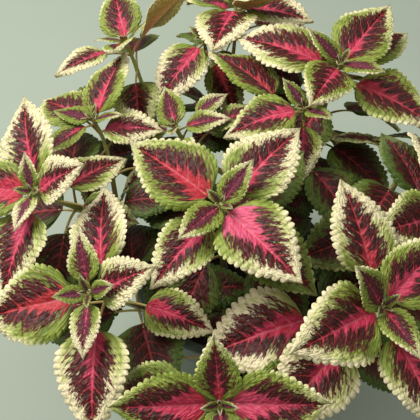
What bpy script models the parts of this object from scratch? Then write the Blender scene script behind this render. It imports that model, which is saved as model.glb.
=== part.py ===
"""A potted coleus: a plain tapered pot, its soil, and a bush of square-stemmed shoots with scalloped leaves.

Metres, +Z up. The origin is the middle of the pot's underside, and the side that the plant is mostly seen
from is -Y. The named sizes are in millimetres and degrees, and MM turns them into metres.

Each leafy stem rises from its own hole in the soil and forks into shoots. A shoot carries its leaves in
opposite pairs, and each pair is turned a quarter from the last, as on every plant of the mint family.
"""

import math
from dataclasses import dataclass, field

import bmesh
import bpy
from mathutils import Vector
from mathutils.bvhtree import BVHTree

MM = 0.001
UP = Vector((0.0, 0.0, 1.0))

# Pot
POT_HEIGHT = 150.0
POT_FOOT_RADIUS = 60.0
POT_TOP_RADIUS = 82.0
POT_WALL = 5.0
POT_FLOOR = 7.0
RIM_HEIGHT = 24.0
RIM_PROUD = 4.0
EDGE_ROUND = 1.8
POT_SIDES = 40

# Soil
SOIL_BELOW_RIM = 15.0
SOIL_CROWN = 4.0
TOUCHING_GAP = 0.3
SOIL_SIDES = 28

# Stems
HOLE_DEPTH = 28.0
HOLE_RADIUS = 4.4
HOLE_SIDES = 8
STEM_RADIUS = 3.6
FORK_RADIUS = 2.8
TIP_RADIUS = 1.8
STEM_STEPS = 4
BRANCH_STEPS = 5
SUNK = 3.0
FLAT_WITHIN = 0.5

# Leaf pairs, from the youngest at the growing point down to the oldest
PAIR_BELOW_TIP = (1.5, 4.0, 12.0, 27.0, 50.0, 76.0, 103.0)
PAIR_PETIOLE = (2.5, 8.0, 16.0, 23.0, 28.0, 30.0, 30.0)
PAIR_RISE = (32.0, 20.0, 14.0, 8.0, 0.0, -8.0, -8.0)
PAIR_ARCH = (16.0, 24.0, 30.0, 34.0, 36.0, 38.0, 40.0)
PETIOLE_LIFT = (4.0, 12.0, 24.0, 32.0, 36.0, 38.0, 38.0)
PAIR_LEVELLED = (0.0, 0.0, 0.0, 0.3, 0.6, 0.8, 1.0)
PAIR_TEETH = (3, 4, 4, 3, 3, 3, 3)
TWO_TEETH_UNDER = 30.0
THREE_TEETH_UNDER = 57.0

# One leaf
NARROWEST = 0.46
WIDER_BY_LENGTH = 0.0042
BLADE_FOLD = 9.0
BLADE_THICK = 0.9
MIDRIB_THICK = 1.7
PETIOLE_THICK = 2.0
PETIOLE_HALF = 1.1
YOUNG_PETIOLE = 0.75
OFF_AXIS = 0.35
OUTLINE_BASE = 0.50
OUTLINE_TIP = 1.08
LAST_TEETH = 0.90
TOOTH_OUT = 1.10
NOTCH_IN = 0.93
TOOTH_AT = 0.60
TOOTH_CURL = 0.05

# How a leaf that would touch another is bent clear
CLEARANCE = 0.7
ROOT_LENGTH = 5.0
NODS = (0.0, 6.0, -6.0, 12.0, -12.0, 19.0, -19.0, 27.0, -27.0)
SWINGS = (0.0, 8.0, -8.0, 16.0, -16.0)
SHRINKS = (1.0, 0.9, 0.8, 0.68)


@dataclass
class Shoot:
    """One growing tip: where it is, where it leans, and its blades' lengths, the youngest pair first.

    turn is the way that leaf a of the youngest pair points. changes holds what sets single leaves apart.
    """

    name: str
    tip: tuple
    lean: float
    toward: float
    turn: float
    blades: tuple
    changes: dict = field(default_factory=dict)


@dataclass
class Stem:
    """A leafy stem: its foot on the soil, the place where it forks, and the shoots that it ends in."""

    name: str
    foot: tuple
    fork: tuple
    shoots: tuple


STEMS = (
    Stem("middle", (-6, -14), (-10, -30, 212), (
        Shoot("middle", (-13, -59, 317), 12, 225, 47, (34, 68, 66, 62, 64, 66, 62), {
            "0b": {"blade": 38, "rise": 24},
            "1a": {"turn": 141, "rise": 14, "petiole": 11},
            "1b": {"turn": 311, "rise": 10},
            "2a": {"blade": 56, "rise": 6},
            "2b": {"rise": 18},
            "4b": {"turn": 242, "rise": -20, "blade": 56},
        }),
    )),
    Stem("front", (-2, -46), (-8, -92, 196), (
        Shoot("front", (-14, -180, 275), 38, 268, 92, (38, 61, 60, 56, 64, 66, 64), {
            "0a": {"rise": 20, "blade": 44},
            "2b": {"rise": -50, "blade": 26, "petiole": 8},
            "3a": {"rise": -12},
            "3b": {"rise": -12},
            "4a": {"rise": -30, "blade": 50},
            "6a": {"petiole": 10, "rise": 8},
        }),
    )),
    Stem("front_left", (-38, -36), (-64, -70, 198), (
        Shoot("front_left", (-99, -107, 285), 30, 235, 188, (22, 36, 58, 62, 60, 66, 64), {
            "1a": {"turn": 262},
            "1b": {"turn": 90},
            "2a": {"turn": 15, "blade": 50, "rise": 34, "petiole": 8},
            "2b": {"turn": 190, "blade": 70},
            "3a": {"turn": 89, "roll": 10, "fold": 14},
            "3b": {"turn": 263, "petiole": 28, "blade": 69},
            "4b": {"turn": 338, "blade": 52, "petiole": 24, "rise": 6},
        }),
    )),
    Stem("front_right", (36, -36), (58, -72, 200), (
        Shoot("front_right", (91, -118, 286), 25, 310, 135, (36, 60, 64, 62, 64, 68, 64), {
            "0a": {"blade": 40, "turn": 145, "rise": 40},
            "0b": {"blade": 38, "turn": 300},
            "1a": {"turn": 207, "blade": 70},
            "1b": {"turn": 52},
            "2a": {"turn": 300, "petiole": 22},
            "2b": {"turn": 113, "petiole": 26},
            "3b": {"turn": 232, "rise": -6, "blade": 70, "petiole": 38},
            "4a": {"turn": 199, "blade": 76, "petiole": 38},
            "4b": {"turn": 10},
            "6b": {"turn": 30, "petiole": 10, "rise": 8},
        }),
    )),
    Stem("left", (-52, 4), (-90, 6, 200), (
        Shoot("left", (-146, -24, 285), 32, 225, 80, (27, 50, 64, 56, 64, 66, 62), {
            "0b": {"turn": 252, "blade": 31},
            "1a": {"blade": 60},
            "1b": {"turn": 10, "rise": 34},
            "2a": {"blade": 66, "turn": 242},
            "2b": {"turn": 91},
            "3a": {"turn": 345, "rise": -26, "blade": 44},
            "3b": {"turn": 43, "petiole": 14, "rise": -22},
        }),
        Shoot("left_back", (-111, 56, 275), 28, 160, 160, (28, 46, 48, 50, 60, 62), {
            "0a": {"blade": 32, "roll": 16},
            "0b": {"turn": 345, "rise": 6, "blade": 24},
            "1a": {"turn": 211, "blade": 40, "rise": 8, "roll": 24},
            "1b": {"turn": 64, "blade": 62, "rise": 26},
            "2a": {"turn": 350, "rise": -16, "petiole": 5, "roll": -44},
            "2b": {"turn": 137, "blade": 60, "rise": 32},
            "3a": {"rise": -14},
            "3b": {"blade": 36, "rise": -24},
        }),
    )),
    Stem("back_left", (-34, 40), (-60, 92, 200), (
        Shoot("far_left", (-90, 140, 280), 30, 130, 185, (24, 44, 48, 56, 62, 64, 62), {
            "1b": {"turn": 100, "rise": 44, "blade": 54},
            "2a": {"turn": 15, "rise": 34, "blade": 60, "roll": 60, "arch": 10},
            "2b": {"turn": 203, "petiole": 20, "roll": 34},
            "3b": {"rise": -20},
        }),
    )),
    Stem("back", (4, 50), (-8, 108, 198), (
        Shoot("far", (2, 180, 285), 30, 95, 120, (28, 60, 60, 60, 64, 64, 62), {
            "1a": {"turn": 256, "rise": -12, "arch": 20, "blade": 68},
            "1b": {"turn": 352, "rise": 8, "roll": -50},
            "3b": {"turn": 235, "rise": -10, "blade": 50},
        }),
        Shoot("far_middle", (-25, 136, 286), 10, 250, 140, (14, 60, 50), {
            "1a": {"turn": 231, "rise": -6, "roll": 8},
            "1b": {"blade": 34, "rise": -24},
            "2a": {"turn": 300, "rise": -36},
            "2b": {"blade": 36, "rise": -40},
        }),
    )),
    Stem("back_right", (38, 36), (60, 64, 205), (
        Shoot("far_corner", (88, 148, 244), 34, 55, 20, (30, 54, 60, 62, 62), {}),
        Shoot("far_right", (82, 93, 299), 14, 300, 148, (35, 51, 72, 60, 66, 68), {
            "1a": {"turn": 241, "blade": 57},
            "1b": {"turn": 53, "blade": 64, "rise": 32},
            "2a": {"turn": 331, "rise": 0, "petiole": 20, "below": 20},
            "2b": {"turn": 157, "rise": 5, "blade": 74},
            "3a": {"turn": 38, "petiole": 30, "rise": 20},
            "3b": {"rise": -16},
            "4b": {"below": 76, "turn": 317, "petiole": 20},
        }),
    )),
    Stem("core", (8, 12), (22, 24, 205), (
        Shoot("core", (51, 46, 298), 12, 230, 130, (26, 58, 60, 60, 66, 66), {
            "1a": {"turn": 194, "rise": 6, "arch": 46},
            "2a": {"turn": 268, "petiole": 7, "blade": 44, "rise": -24},
            "1b": {"blade": 34, "rise": -30},
            "2b": {"turn": 141, "blade": 66, "petiole": 36, "below": 27},
        }),
        Shoot("hollow", (-47, 51, 272), 14, 150, 100, (34, 31, 44, 50), {
            "0a": {"blade": 38},
            "0b": {"blade": 20},
            "1a": {"turn": 172, "rise": 20, "roll": 26},
            "1b": {"turn": 355, "rise": 2, "blade": 36, "roll": -20},
            "2b": {"turn": 35, "petiole": 22, "blade": 31, "roll": -30},
        }),
    )),
    Stem("right", (52, 0), (96, -8, 200), (
        Shoot("right", (150, -40, 282), 34, 345, 20, (34, 58, 62, 62, 66, 66, 62), {}),
        Shoot("right_back", (152, 46, 266), 32, 20, 60, (30, 52, 58, 60, 64, 64), {
            "1a": {"blade": 36, "rise": -30},
        }),
    )),
)


def compass(turn, rise=0.0):
    """The direction of a bearing, counter-clockwise from +X, and a height above the horizon."""
    turn, rise = math.radians(turn), math.radians(rise)
    return Vector((math.cos(rise) * math.cos(turn), math.cos(rise) * math.sin(turn), math.sin(rise)))


# Where stems and leaves go

def smooth_path(start, start_way, end, end_way, steps):
    """Points on the curve that leaves start along start_way and reaches end along end_way."""
    reach = (end - start).length * 0.36
    a, b, c, d = start, start + start_way * reach, end - end_way * reach, end
    points = []
    for i in range(steps + 1):
        t = i / steps
        u = 1.0 - t
        points.append(a * u**3 + b * (3 * t * u * u) + c * (3 * t * t * u) + d * t**3)
    return points


def stem_paths(stem):
    """The trunk's path from its foot to the fork, and each shoot's path from the fork to its tip."""
    soil = Vector((*stem.foot, POT_HEIGHT - SOIL_BELOW_RIM + SOIL_CROWN))
    fork = Vector(stem.fork)
    fork_way = ((fork - soil).normalized() + UP * 0.6).normalized()
    foot = soil.copy()
    foot.z = POT_HEIGHT - SOIL_BELOW_RIM - HOLE_DEPTH + TOUCHING_GAP
    trunk = [foot, *smooth_path(soil, UP, fork, fork_way, STEM_STEPS)]
    branches = {}
    for shoot in stem.shoots:
        tip = Vector(shoot.tip)
        way = ((tip - fork).normalized() + fork_way * 0.4).normalized()
        tip_way = compass(shoot.toward, 90.0 - shoot.lean)
        branches[shoot.name] = smooth_path(fork, way, tip, tip_way, BRANCH_STEPS)
    return trunk, branches


def back_from_tip(points, distance):
    """The point this far back along a path from its end, and the way that the path runs there."""
    for low, high in zip(reversed(points[:-1]), reversed(points[1:])):
        length = (high - low).length
        if distance <= length:
            return high.lerp(low, distance / length), (high - low).normalized()
        distance -= length
    return points[0].copy(), (points[1] - points[0]).normalized()


def leaf_plan(shoot, pair, side):
    """What the rule gives a leaf, with the changes that this leaf has."""
    blade = shoot.blades[pair]
    leaf = {
        "turn": shoot.turn + 90.0 * pair + (180.0 if side == "b" else 0.0),
        "rise": PAIR_RISE[pair],
        "arch": PAIR_ARCH[pair],
        "blade": blade,
        "petiole": PAIR_PETIOLE[pair],
        "lift": PETIOLE_LIFT[pair],
        "below": PAIR_BELOW_TIP[pair],
        "fold": BLADE_FOLD,
        "roll": 0.0,
    }
    leaf.update(shoot.changes.get(f"{pair}{side}", {}))
    fits = 2 if leaf["blade"] < TWO_TEETH_UNDER else 3 if leaf["blade"] < THREE_TEETH_UNDER else 4
    leaf["teeth"] = min(PAIR_TEETH[pair], fits)
    return leaf


def leaf_line(root, axis, leaf):
    """A leaf's middle line, as a function of a share: 0 at the stem, 1 at the blade's base, 2 at its tip.

    It gives a point, the way forward and the way that the upper face looks. The stalk and the blade are
    two arcs that lie in one plane with the stem's axis.
    """
    out = compass(leaf["turn"])
    out = (out - axis * out.dot(axis)).normalized()
    side = out.cross(axis)
    steep = math.radians(leaf["rise"] + leaf["lift"])
    level = math.radians(leaf["rise"])
    low = math.radians(leaf["rise"] - leaf["arch"])

    def way(angle):
        return out * math.cos(angle) + axis * math.sin(angle)

    def arc(start, first, last, length, share):
        turned = (last - first) * share
        chord = length * share
        if abs(turned) > 1e-6:
            chord *= math.sin(turned / 2) / (turned / 2)
        return start + way(first + turned / 2) * chord

    root = root + out * OFF_AXIS
    base = arc(root, steep, level, leaf["petiole"], 1.0)

    def at(share):
        if share <= 1.0:
            angle = steep + (level - steep) * share
            point = arc(root, steep, level, leaf["petiole"], share)
        else:
            angle = level + (low - level) * (share - 1.0)
            point = arc(base, level, low, leaf["blade"], share - 1.0)
        forward = way(angle)
        return point, side, side.cross(forward)

    return at


def blade_half(leaf):
    """Half the widest part of a blade. Small, young leaves are slimmer than old ones."""
    return leaf["blade"] * (NARROWEST + WIDER_BY_LENGTH * leaf["blade"]) / 2


def half_width(share):
    """Half the blade's width as a share of its widest, from its base at 0 to its tip at 1."""
    widest = OUTLINE_BASE / (OUTLINE_BASE + OUTLINE_TIP)
    top = widest**OUTLINE_BASE * (1.0 - widest) ** OUTLINE_TIP
    return share**OUTLINE_BASE * (1.0 - share) ** OUTLINE_TIP / top


# The shape of one leaf

def leaf_body(at, leaf, grown=0.0, start=0.0):
    """One leaf as a closed bmesh, in millimetres: a keeled stalk that opens into a folded, scalloped blade.

    Its upper face is a strip of triangles on both sides of the midrib, extruded down by its thickness.
    The stalk's lower corners then meet in its keel. grown makes the leaf fatter all over, and start leaves
    off the first part of the stalk.
    """
    bm = bmesh.new()
    thick = {}
    fold = math.radians(leaf["fold"])
    roll = math.radians(leaf["roll"])
    widest = blade_half(leaf)

    def put(share, across, depth, curl=0.0):
        point, side, normal = at(share)
        twist = roll * max(share - 1.0, 0.0) ** 0.5
        side, normal = (
            side * math.cos(twist) + normal * math.sin(twist),
            normal * math.cos(twist) - side * math.sin(twist),
        )
        lift = abs(across) * math.sin(fold) + curl
        spot = point + side * (across * math.cos(fold)) + normal * (lift + grown)
        vert = bm.verts.new(spot)
        thick[vert] = normal * (depth + 2.0 * grown)
        return vert

    def face(*verts):
        bm.faces.new(verts)

    stout = YOUNG_PETIOLE if leaf["petiole"] < PAIR_PETIOLE[2] / 2 else 1.0
    stalk_half = PETIOLE_HALF * stout + grown
    root_left, root_right = (put(start, x, PETIOLE_THICK * stout) for x in (-stalk_half, stalk_half))
    left, right = (put(1.0, x, PETIOLE_THICK * stout) for x in (-stalk_half, stalk_half))
    middle = None
    face(root_left, root_right, right)
    face(root_left, right, left)
    keels = [[tuple(vert.co) for vert in ends] for ends in ((root_left, root_right), (left, right))]

    teeth = leaf["teeth"]
    for i in range(teeth):
        near = LAST_TEETH * i / teeth
        far = LAST_TEETH * (i + 1) / teeth
        peak = near + (far - near) * TOOTH_AT
        tooth = half_width(peak) * widest * TOOTH_OUT + grown
        notch = half_width(far) * widest * NOTCH_IN + grown
        curl = tooth * TOOTH_CURL
        left_tooth = put(1.0 + peak, -tooth, BLADE_THICK, curl)
        right_tooth = put(1.0 + peak, tooth, BLADE_THICK, curl)
        next_left = put(1.0 + far, -notch, BLADE_THICK)
        next_right = put(1.0 + far, notch, BLADE_THICK)
        face(left, next_left, left_tooth)
        face(right, right_tooth, next_right)
        next_middle = put(1.0 + far, 0.0, MIDRIB_THICK) if i < teeth - 1 else middle
        face(left, next_middle, next_left)
        face(right, next_right, next_middle)
        if middle is None:
            face(left, right, next_middle)
        elif middle is not next_middle:
            face(left, middle, next_middle)
            face(middle, right, next_middle)
        left, middle, right = next_left, next_middle, next_right
    tip = put(2.0, 0.0, BLADE_THICK)
    face(left, middle, tip)
    face(middle, right, tip)

    depths = {tuple(vert.co): depth for vert, depth in thick.items()}
    lower = {}
    for item in bmesh.ops.extrude_face_region(bm, geom=list(bm.faces))["geom"]:
        if isinstance(item, bmesh.types.BMVert):
            lower[tuple(item.co)] = item
            item.co -= depths[tuple(item.co)]
    for ends in keels:
        pair = [lower[end] for end in ends]
        bmesh.ops.pointmerge(bm, verts=pair, merge_co=(pair[0].co + pair[1].co) / 2)
    bmesh.ops.recalc_face_normals(bm, faces=bm.faces)
    return bm


# Leaves that would touch are bent clear

def ball_around(points):
    """A ball that holds these points, as its middle and radius."""
    middle = sum(points, Vector()) / len(points)
    return middle, max((point - middle).length for point in points)


class Taken:
    """The space that is already filled: a search tree, the ball around it, and whose it is."""

    def __init__(self, bm, owner=None):
        self.tree = BVHTree.FromBMesh(bm)
        self.middle, self.radius = ball_around([vert.co for vert in bm.verts])
        self.owner = owner

    def meets(self, other):
        if (self.middle - other.middle).length > self.radius + other.radius:
            return False
        return bool(self.tree.overlap(other.tree))


def fat_leaf(at, leaf, start):
    body = leaf_body(at, leaf, grown=CLEARANCE / 2, start=start)
    space = Taken(body)
    body.free()
    return space


def settle(plan, root, axis, owners, filled):
    """The first way of bending a leaf that keeps it clear of all that is filled, or None.

    owners are the shoot and the stem that it grows on, which only its blade is kept clear of. The root of
    the stalk, where it leaves the stem beside its twin, is kept clear of nothing.
    """
    for shrink in SHRINKS:
        for swing in SWINGS:
            for nod in NODS:
                leaf = dict(plan)
                leaf["turn"] += swing
                leaf["rise"] += nod
                leaf["blade"] *= shrink
                at = leaf_line(root, axis, leaf)
                space = fat_leaf(at, leaf, min(0.6, ROOT_LENGTH / leaf["petiole"]))
                if any(space.meets(other) for other in filled if other.owner not in owners):
                    continue
                blade = fat_leaf(at, leaf, 0.95)
                if any(blade.meets(other) for other in filled if other.owner in owners):
                    continue
                return leaf, at, space
    return None


def tube_space(points, first, last, owner):
    """The space round a stem, as a four-sided tube a little wider than the stem."""
    bm = bmesh.new()
    rings = []
    for i, point in enumerate(points):
        low = points[max(i - 1, 0)]
        high = points[min(i + 1, len(points) - 1)]
        way = (high - low).normalized()
        side = way.orthogonal().normalized()
        radius = first + (last - first) * i / (len(points) - 1) + CLEARANCE / 2
        other = way.cross(side)
        rings.append([bm.verts.new(point + spoke * radius) for spoke in (side, other, -side, -other)])
    for low, high in zip(rings, rings[1:]):
        best = min(range(4), key=lambda k: (low[0].co - high[k].co).length)
        high[:] = high[best:] + high[:best]
        for k in range(4):
            bm.faces.new((low[k], low[(k + 1) % 4], high[(k + 1) % 4], high[k]))
    space = Taken(bm, owner)
    bm.free()
    return space


def pot_space():
    bm = bmesh.new()
    radius = POT_TOP_RADIUS + RIM_PROUD + CLEARANCE
    made = bmesh.ops.create_cone(
        bm, cap_ends=True, segments=24, radius1=radius, radius2=radius, depth=POT_HEIGHT + CLEARANCE
    )
    bmesh.ops.translate(bm, verts=made["verts"], vec=UP * (POT_HEIGHT / 2 - 1.0))
    space = Taken(bm)
    bm.free()
    return space


def settle_leaves():
    """Every leaf in its place, as a list for each stem. The top leaves of every shoot are placed first."""
    filled = [pot_space()]
    paths = {}
    for stem in STEMS:
        trunk, branches = stem_paths(stem)
        paths[stem.name] = trunk, branches
        filled.append(tube_space(trunk[2:], STEM_RADIUS, FORK_RADIUS, stem.name))
        for name, points in branches.items():
            filled.append(tube_space(points, FORK_RADIUS, TIP_RADIUS, name))
    leaves = {stem.name: [] for stem in STEMS}
    for pair in range(max(len(shoot.blades) for stem in STEMS for shoot in stem.shoots)):
        for stem in STEMS:
            for shoot in stem.shoots:
                if pair >= len(shoot.blades):
                    continue
                trunk, branches = paths[stem.name]
                line = [*trunk[1:-1], *branches[shoot.name]]
                for side in "ab":
                    plan = leaf_plan(shoot, pair, side)
                    root, axis = back_from_tip(line, plan["below"])
                    axis = axis.lerp(UP, PAIR_LEVELLED[pair]).normalized()
                    found = settle(plan, root, axis, (shoot.name, stem.name), filled)
                    if found is None:
                        continue
                    leaf, at, space = found
                    filled.append(space)
                    leaves[stem.name].append((f"{shoot.name} {pair}{side}", leaf, at))
    return paths, leaves


# The plant's solids

def colour_of(name, colour, roughness, metallic=0.0):
    material = bpy.data.materials.new(name)
    material.use_nodes = True
    shader = material.node_tree.nodes["Principled BSDF"]
    shader.inputs["Base Color"].default_value = (*colour, 1.0)
    shader.inputs["Roughness"].default_value = roughness
    shader.inputs["Metallic"].default_value = metallic
    material.diffuse_color = (*colour, 1.0)
    return material


def stem_tube(name, points, first, last, collection):
    """A square stem along these points, as a curve with a bevel, turned into a mesh."""
    curve = bpy.data.curves.new(name, "CURVE")
    curve.dimensions = "3D"
    curve.bevel_depth = MM
    curve.bevel_resolution = 0
    curve.use_fill_caps = True
    spline = curve.splines.new("POLY")
    spline.points.add(len(points) - 1)
    for i, (knot, point) in enumerate(zip(spline.points, points)):
        knot.co = (*(point * MM), 1.0)
        knot.radius = first + (last - first) * i / (len(points) - 1)
    guide = bpy.data.objects.new(name, curve)
    collection.objects.link(guide)
    mesh = bpy.data.meshes.new_from_object(guide.evaluated_get(bpy.context.evaluated_depsgraph_get()))
    bpy.data.objects.remove(guide)
    bpy.data.curves.remove(curve)
    bm = bmesh.new()
    bm.from_mesh(mesh)
    bmesh.ops.remove_doubles(bm, verts=bm.verts, dist=0.01 * MM)
    bmesh.ops.recalc_face_normals(bm, faces=bm.faces)
    bm.to_mesh(mesh)
    bm.free()
    tube = bpy.data.objects.new(name, mesh)
    collection.objects.link(tube)
    return tube


def leaf_object(name, at, leaf, collection):
    bm = leaf_body(at, leaf)
    bmesh.ops.scale(bm, vec=(MM, MM, MM), verts=bm.verts)
    mesh = bpy.data.meshes.new(name)
    bm.to_mesh(mesh)
    bm.free()
    piece = bpy.data.objects.new(name, mesh)
    collection.objects.link(piece)
    return piece


def new_collection(name):
    collection = bpy.data.collections.new(name)
    bpy.context.scene.collection.children.link(collection)
    return collection


def apply_modifiers(piece):
    mesh = bpy.data.meshes.new_from_object(piece.evaluated_get(bpy.context.evaluated_depsgraph_get()))
    piece.modifiers.clear()
    piece.data = mesh


def merge_flat_faces(mesh):
    """Join faces that lie in one plane, so that the union's cuts leave few triangles."""
    bm = bmesh.new()
    bm.from_mesh(mesh)
    bmesh.ops.dissolve_limit(bm, angle_limit=math.radians(FLAT_WITHIN), verts=bm.verts, edges=bm.edges)
    bm.to_mesh(mesh)
    bm.free()


def make_leafy_stem(stem, paths, leaves, collection):
    """One stem with its branches and leaves, joined into one solid."""
    trunk_points, branches = paths[stem.name]
    repeats = new_collection(f"{stem.name}_repeats")
    beyond = (trunk_points[-1] - trunk_points[-2]).normalized() * SUNK
    trunk = stem_tube(
        f"leafy_stem_{stem.name}", [*trunk_points, trunk_points[-1] + beyond], STEM_RADIUS, FORK_RADIUS, collection
    )
    for name, points in branches.items():
        back = (points[1] - points[0]).normalized() * SUNK
        stem_tube(f"branch_{name}", [points[0] - back, *points], FORK_RADIUS - 0.2, TIP_RADIUS, repeats)
    for name, leaf, at in leaves[stem.name]:
        leaf_object(f"leaf_{name}", at, leaf, repeats)
    join = trunk.modifiers.new("join", "BOOLEAN")
    join.operation = "UNION"
    join.operand_type = "COLLECTION"
    join.collection = repeats
    join.solver = "MANIFOLD"
    apply_modifiers(trunk)
    merge_flat_faces(trunk.data)
    for piece in list(repeats.objects):
        bpy.data.objects.remove(piece)
    bpy.data.collections.remove(repeats)
    trunk.data.materials.clear()
    trunk.data.materials.append(colour_of(f"leaf_{stem.name}", (0.30, 0.10, 0.11), 0.6))
    trunk.data.set_sharp_from_angle(angle=math.radians(30))
    return trunk


# The pot and the soil

def turned(name, profile, sides, collection):
    """A solid turned round the Z axis from a profile of (radius, height) points that ends on the axis."""
    mesh = bpy.data.meshes.new(name)
    points = [(radius * MM, 0.0, height * MM) for radius, height in profile]
    mesh.from_pydata(points, [(i, i + 1) for i in range(len(points) - 1)], [])
    piece = bpy.data.objects.new(name, mesh)
    collection.objects.link(piece)
    screw = piece.modifiers.new("turn", "SCREW")
    screw.steps = sides
    screw.render_steps = sides
    screw.use_merge_vertices = True
    screw.merge_threshold = 0.00001
    return piece


def pot_radius(height):
    """The pot's outer radius at this height, below its rim."""
    return POT_FOOT_RADIUS + (POT_TOP_RADIUS - POT_FOOT_RADIUS) * height / POT_HEIGHT


def make_pot(collection):
    rim = POT_TOP_RADIUS + RIM_PROUD
    under_rim = POT_HEIGHT - RIM_HEIGHT
    inner_top = POT_TOP_RADIUS - POT_WALL
    profile = [
        (0.0, POT_FLOOR),
        (pot_radius(POT_FLOOR) - POT_WALL, POT_FLOOR),
        (inner_top, POT_HEIGHT - EDGE_ROUND),
        (inner_top + EDGE_ROUND, POT_HEIGHT),
        (rim - EDGE_ROUND, POT_HEIGHT),
        (rim, POT_HEIGHT - EDGE_ROUND),
        (rim, under_rim + EDGE_ROUND),
        (rim - EDGE_ROUND, under_rim),
        (pot_radius(under_rim), under_rim - EDGE_ROUND),
        (pot_radius(EDGE_ROUND), EDGE_ROUND),
        (POT_FOOT_RADIUS - EDGE_ROUND, 0.0),
        (0.0, 0.0),
    ]
    pot = turned("pot", profile, POT_SIDES, collection)
    apply_modifiers(pot)
    pot.data.materials.append(colour_of("pot_clay", (0.075, 0.095, 0.075), 0.62))
    pot.data.set_sharp_from_angle(angle=math.radians(38))
    return pot


def make_soil(collection, cutters):
    """The soil that fills the pot, with a plain hole for each stem."""
    top = POT_HEIGHT - SOIL_BELOW_RIM

    def inside(height):
        low = pot_radius(POT_FLOOR) - POT_WALL
        high = POT_TOP_RADIUS - POT_WALL
        share = (height - POT_FLOOR) / (POT_HEIGHT - EDGE_ROUND - POT_FLOOR)
        return low + (high - low) * share - TOUCHING_GAP

    bottom = POT_FLOOR + TOUCHING_GAP
    profile = [
        (0.0, top + SOIL_CROWN),
        (inside(top) * 0.4, top + SOIL_CROWN * 0.85),
        (inside(top) * 0.75, top + SOIL_CROWN * 0.4),
        (inside(top), top),
        (inside(bottom), bottom),
        (0.0, bottom),
    ]
    soil = turned("soil", profile, SOIL_SIDES, collection)
    apply_modifiers(soil)
    for stem in STEMS:
        add_hole(stem, top, cutters)
    cut = soil.modifiers.new("stem_holes", "BOOLEAN")
    cut.operation = "DIFFERENCE"
    cut.operand_type = "COLLECTION"
    cut.collection = cutters
    apply_modifiers(soil)
    soil.data.materials.append(colour_of("soil", (0.035, 0.022, 0.014), 0.95))
    soil.data.set_sharp_from_angle(angle=math.radians(38))
    return soil


def add_hole(stem, top, cutters):
    bpy.ops.mesh.primitive_cylinder_add(
        vertices=HOLE_SIDES,
        radius=HOLE_RADIUS * MM,
        depth=2.0 * HOLE_DEPTH * MM,
        location=(stem.foot[0] * MM, stem.foot[1] * MM, top * MM),
    )
    hole = bpy.context.object
    hole.name = f"hole_{stem.name}"
    for holder in list(hole.users_collection):
        holder.objects.unlink(hole)
    cutters.objects.link(hole)
    hole.hide_render = True
    hole.display_type = "WIRE"


def main():
    for piece in list(bpy.data.objects):
        bpy.data.objects.remove(piece)
    plant = new_collection("potted_coleus")
    cutters = new_collection("cutters")
    make_pot(plant)
    make_soil(plant, cutters)
    paths, leaves = settle_leaves()
    for stem in STEMS:
        make_leafy_stem(stem, paths, leaves, plant)


if __name__ == "__main__":
    main()
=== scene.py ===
# %% [markdown]
# A potted coleus, dressed on its solid frame. The frame holds the pot, the soil and ten leafy stems as plain
# faceted solids. This lesson replaces the pot and the stems with fine ones of the same form: blades with
# scalloped edges and puffed panels, a painted leaf marking, velvety stalks and a glazed pot. The soil keeps
# its solid and gets crumbs. Every piece stands where its solid stands. Lengths are in millimetres up to the
# moment when a mesh is made, and in metres in the scene.

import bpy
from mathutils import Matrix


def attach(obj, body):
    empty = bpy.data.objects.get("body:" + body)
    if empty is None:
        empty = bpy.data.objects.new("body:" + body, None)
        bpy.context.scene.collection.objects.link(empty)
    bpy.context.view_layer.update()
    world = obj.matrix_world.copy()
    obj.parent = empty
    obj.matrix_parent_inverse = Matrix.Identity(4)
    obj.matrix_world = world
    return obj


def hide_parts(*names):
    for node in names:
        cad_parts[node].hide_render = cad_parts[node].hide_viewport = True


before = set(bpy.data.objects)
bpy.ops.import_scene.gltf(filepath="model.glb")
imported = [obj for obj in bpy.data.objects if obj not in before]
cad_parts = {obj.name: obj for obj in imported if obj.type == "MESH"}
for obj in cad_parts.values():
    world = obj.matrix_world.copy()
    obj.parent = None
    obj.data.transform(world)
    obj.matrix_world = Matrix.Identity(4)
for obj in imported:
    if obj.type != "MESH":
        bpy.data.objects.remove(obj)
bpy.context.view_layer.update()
print("nodes:", ", ".join(sorted(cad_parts)))

# %% Tools for the lesson
import math
import random
from dataclasses import dataclass, field
from types import SimpleNamespace

import bmesh
import bpy
import numpy as np
from mathutils import Vector
from mathutils.bvhtree import BVHTree

MM = 0.001
UP = Vector((0.0, 0.0, 1.0))
print("a metre is", round(1.0 / MM), "millimetres")

# %% [markdown]
# The pot and the stems. The real plant is ten cuttings in one pot, and each has grown into one or two
# shoots. The plan below says where every growing tip is, where it leans and how long its blades are, the
# youngest pair first. It could be drawn leaf by leaf, but a coleus follows a rule: its leaves come in
# opposite pairs, and each pair is turned a quarter from the last. So the rule makes the leaves, and the plan
# only holds what sets single leaves apart. The solids were laid out by the same rule, so the fine leaves
# land on them.

# %% Sizes of the pot, the stems and the leaf pairs
POT_HEIGHT = 150.0
POT_FOOT_RADIUS = 60.0
POT_TOP_RADIUS = 82.0
POT_WALL = 5.0
POT_FLOOR = 7.0
RIM_HEIGHT = 24.0
RIM_PROUD = 4.0
SOIL_BELOW_RIM = 15.0
SOIL_CROWN = 4.0
TOUCHING_GAP = 0.3

HOLE_DEPTH = 28.0
STEM_RADIUS = 3.6
FORK_RADIUS = 2.8
TIP_RADIUS = 1.8
STEM_STEPS = 4
BRANCH_STEPS = 5

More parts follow.
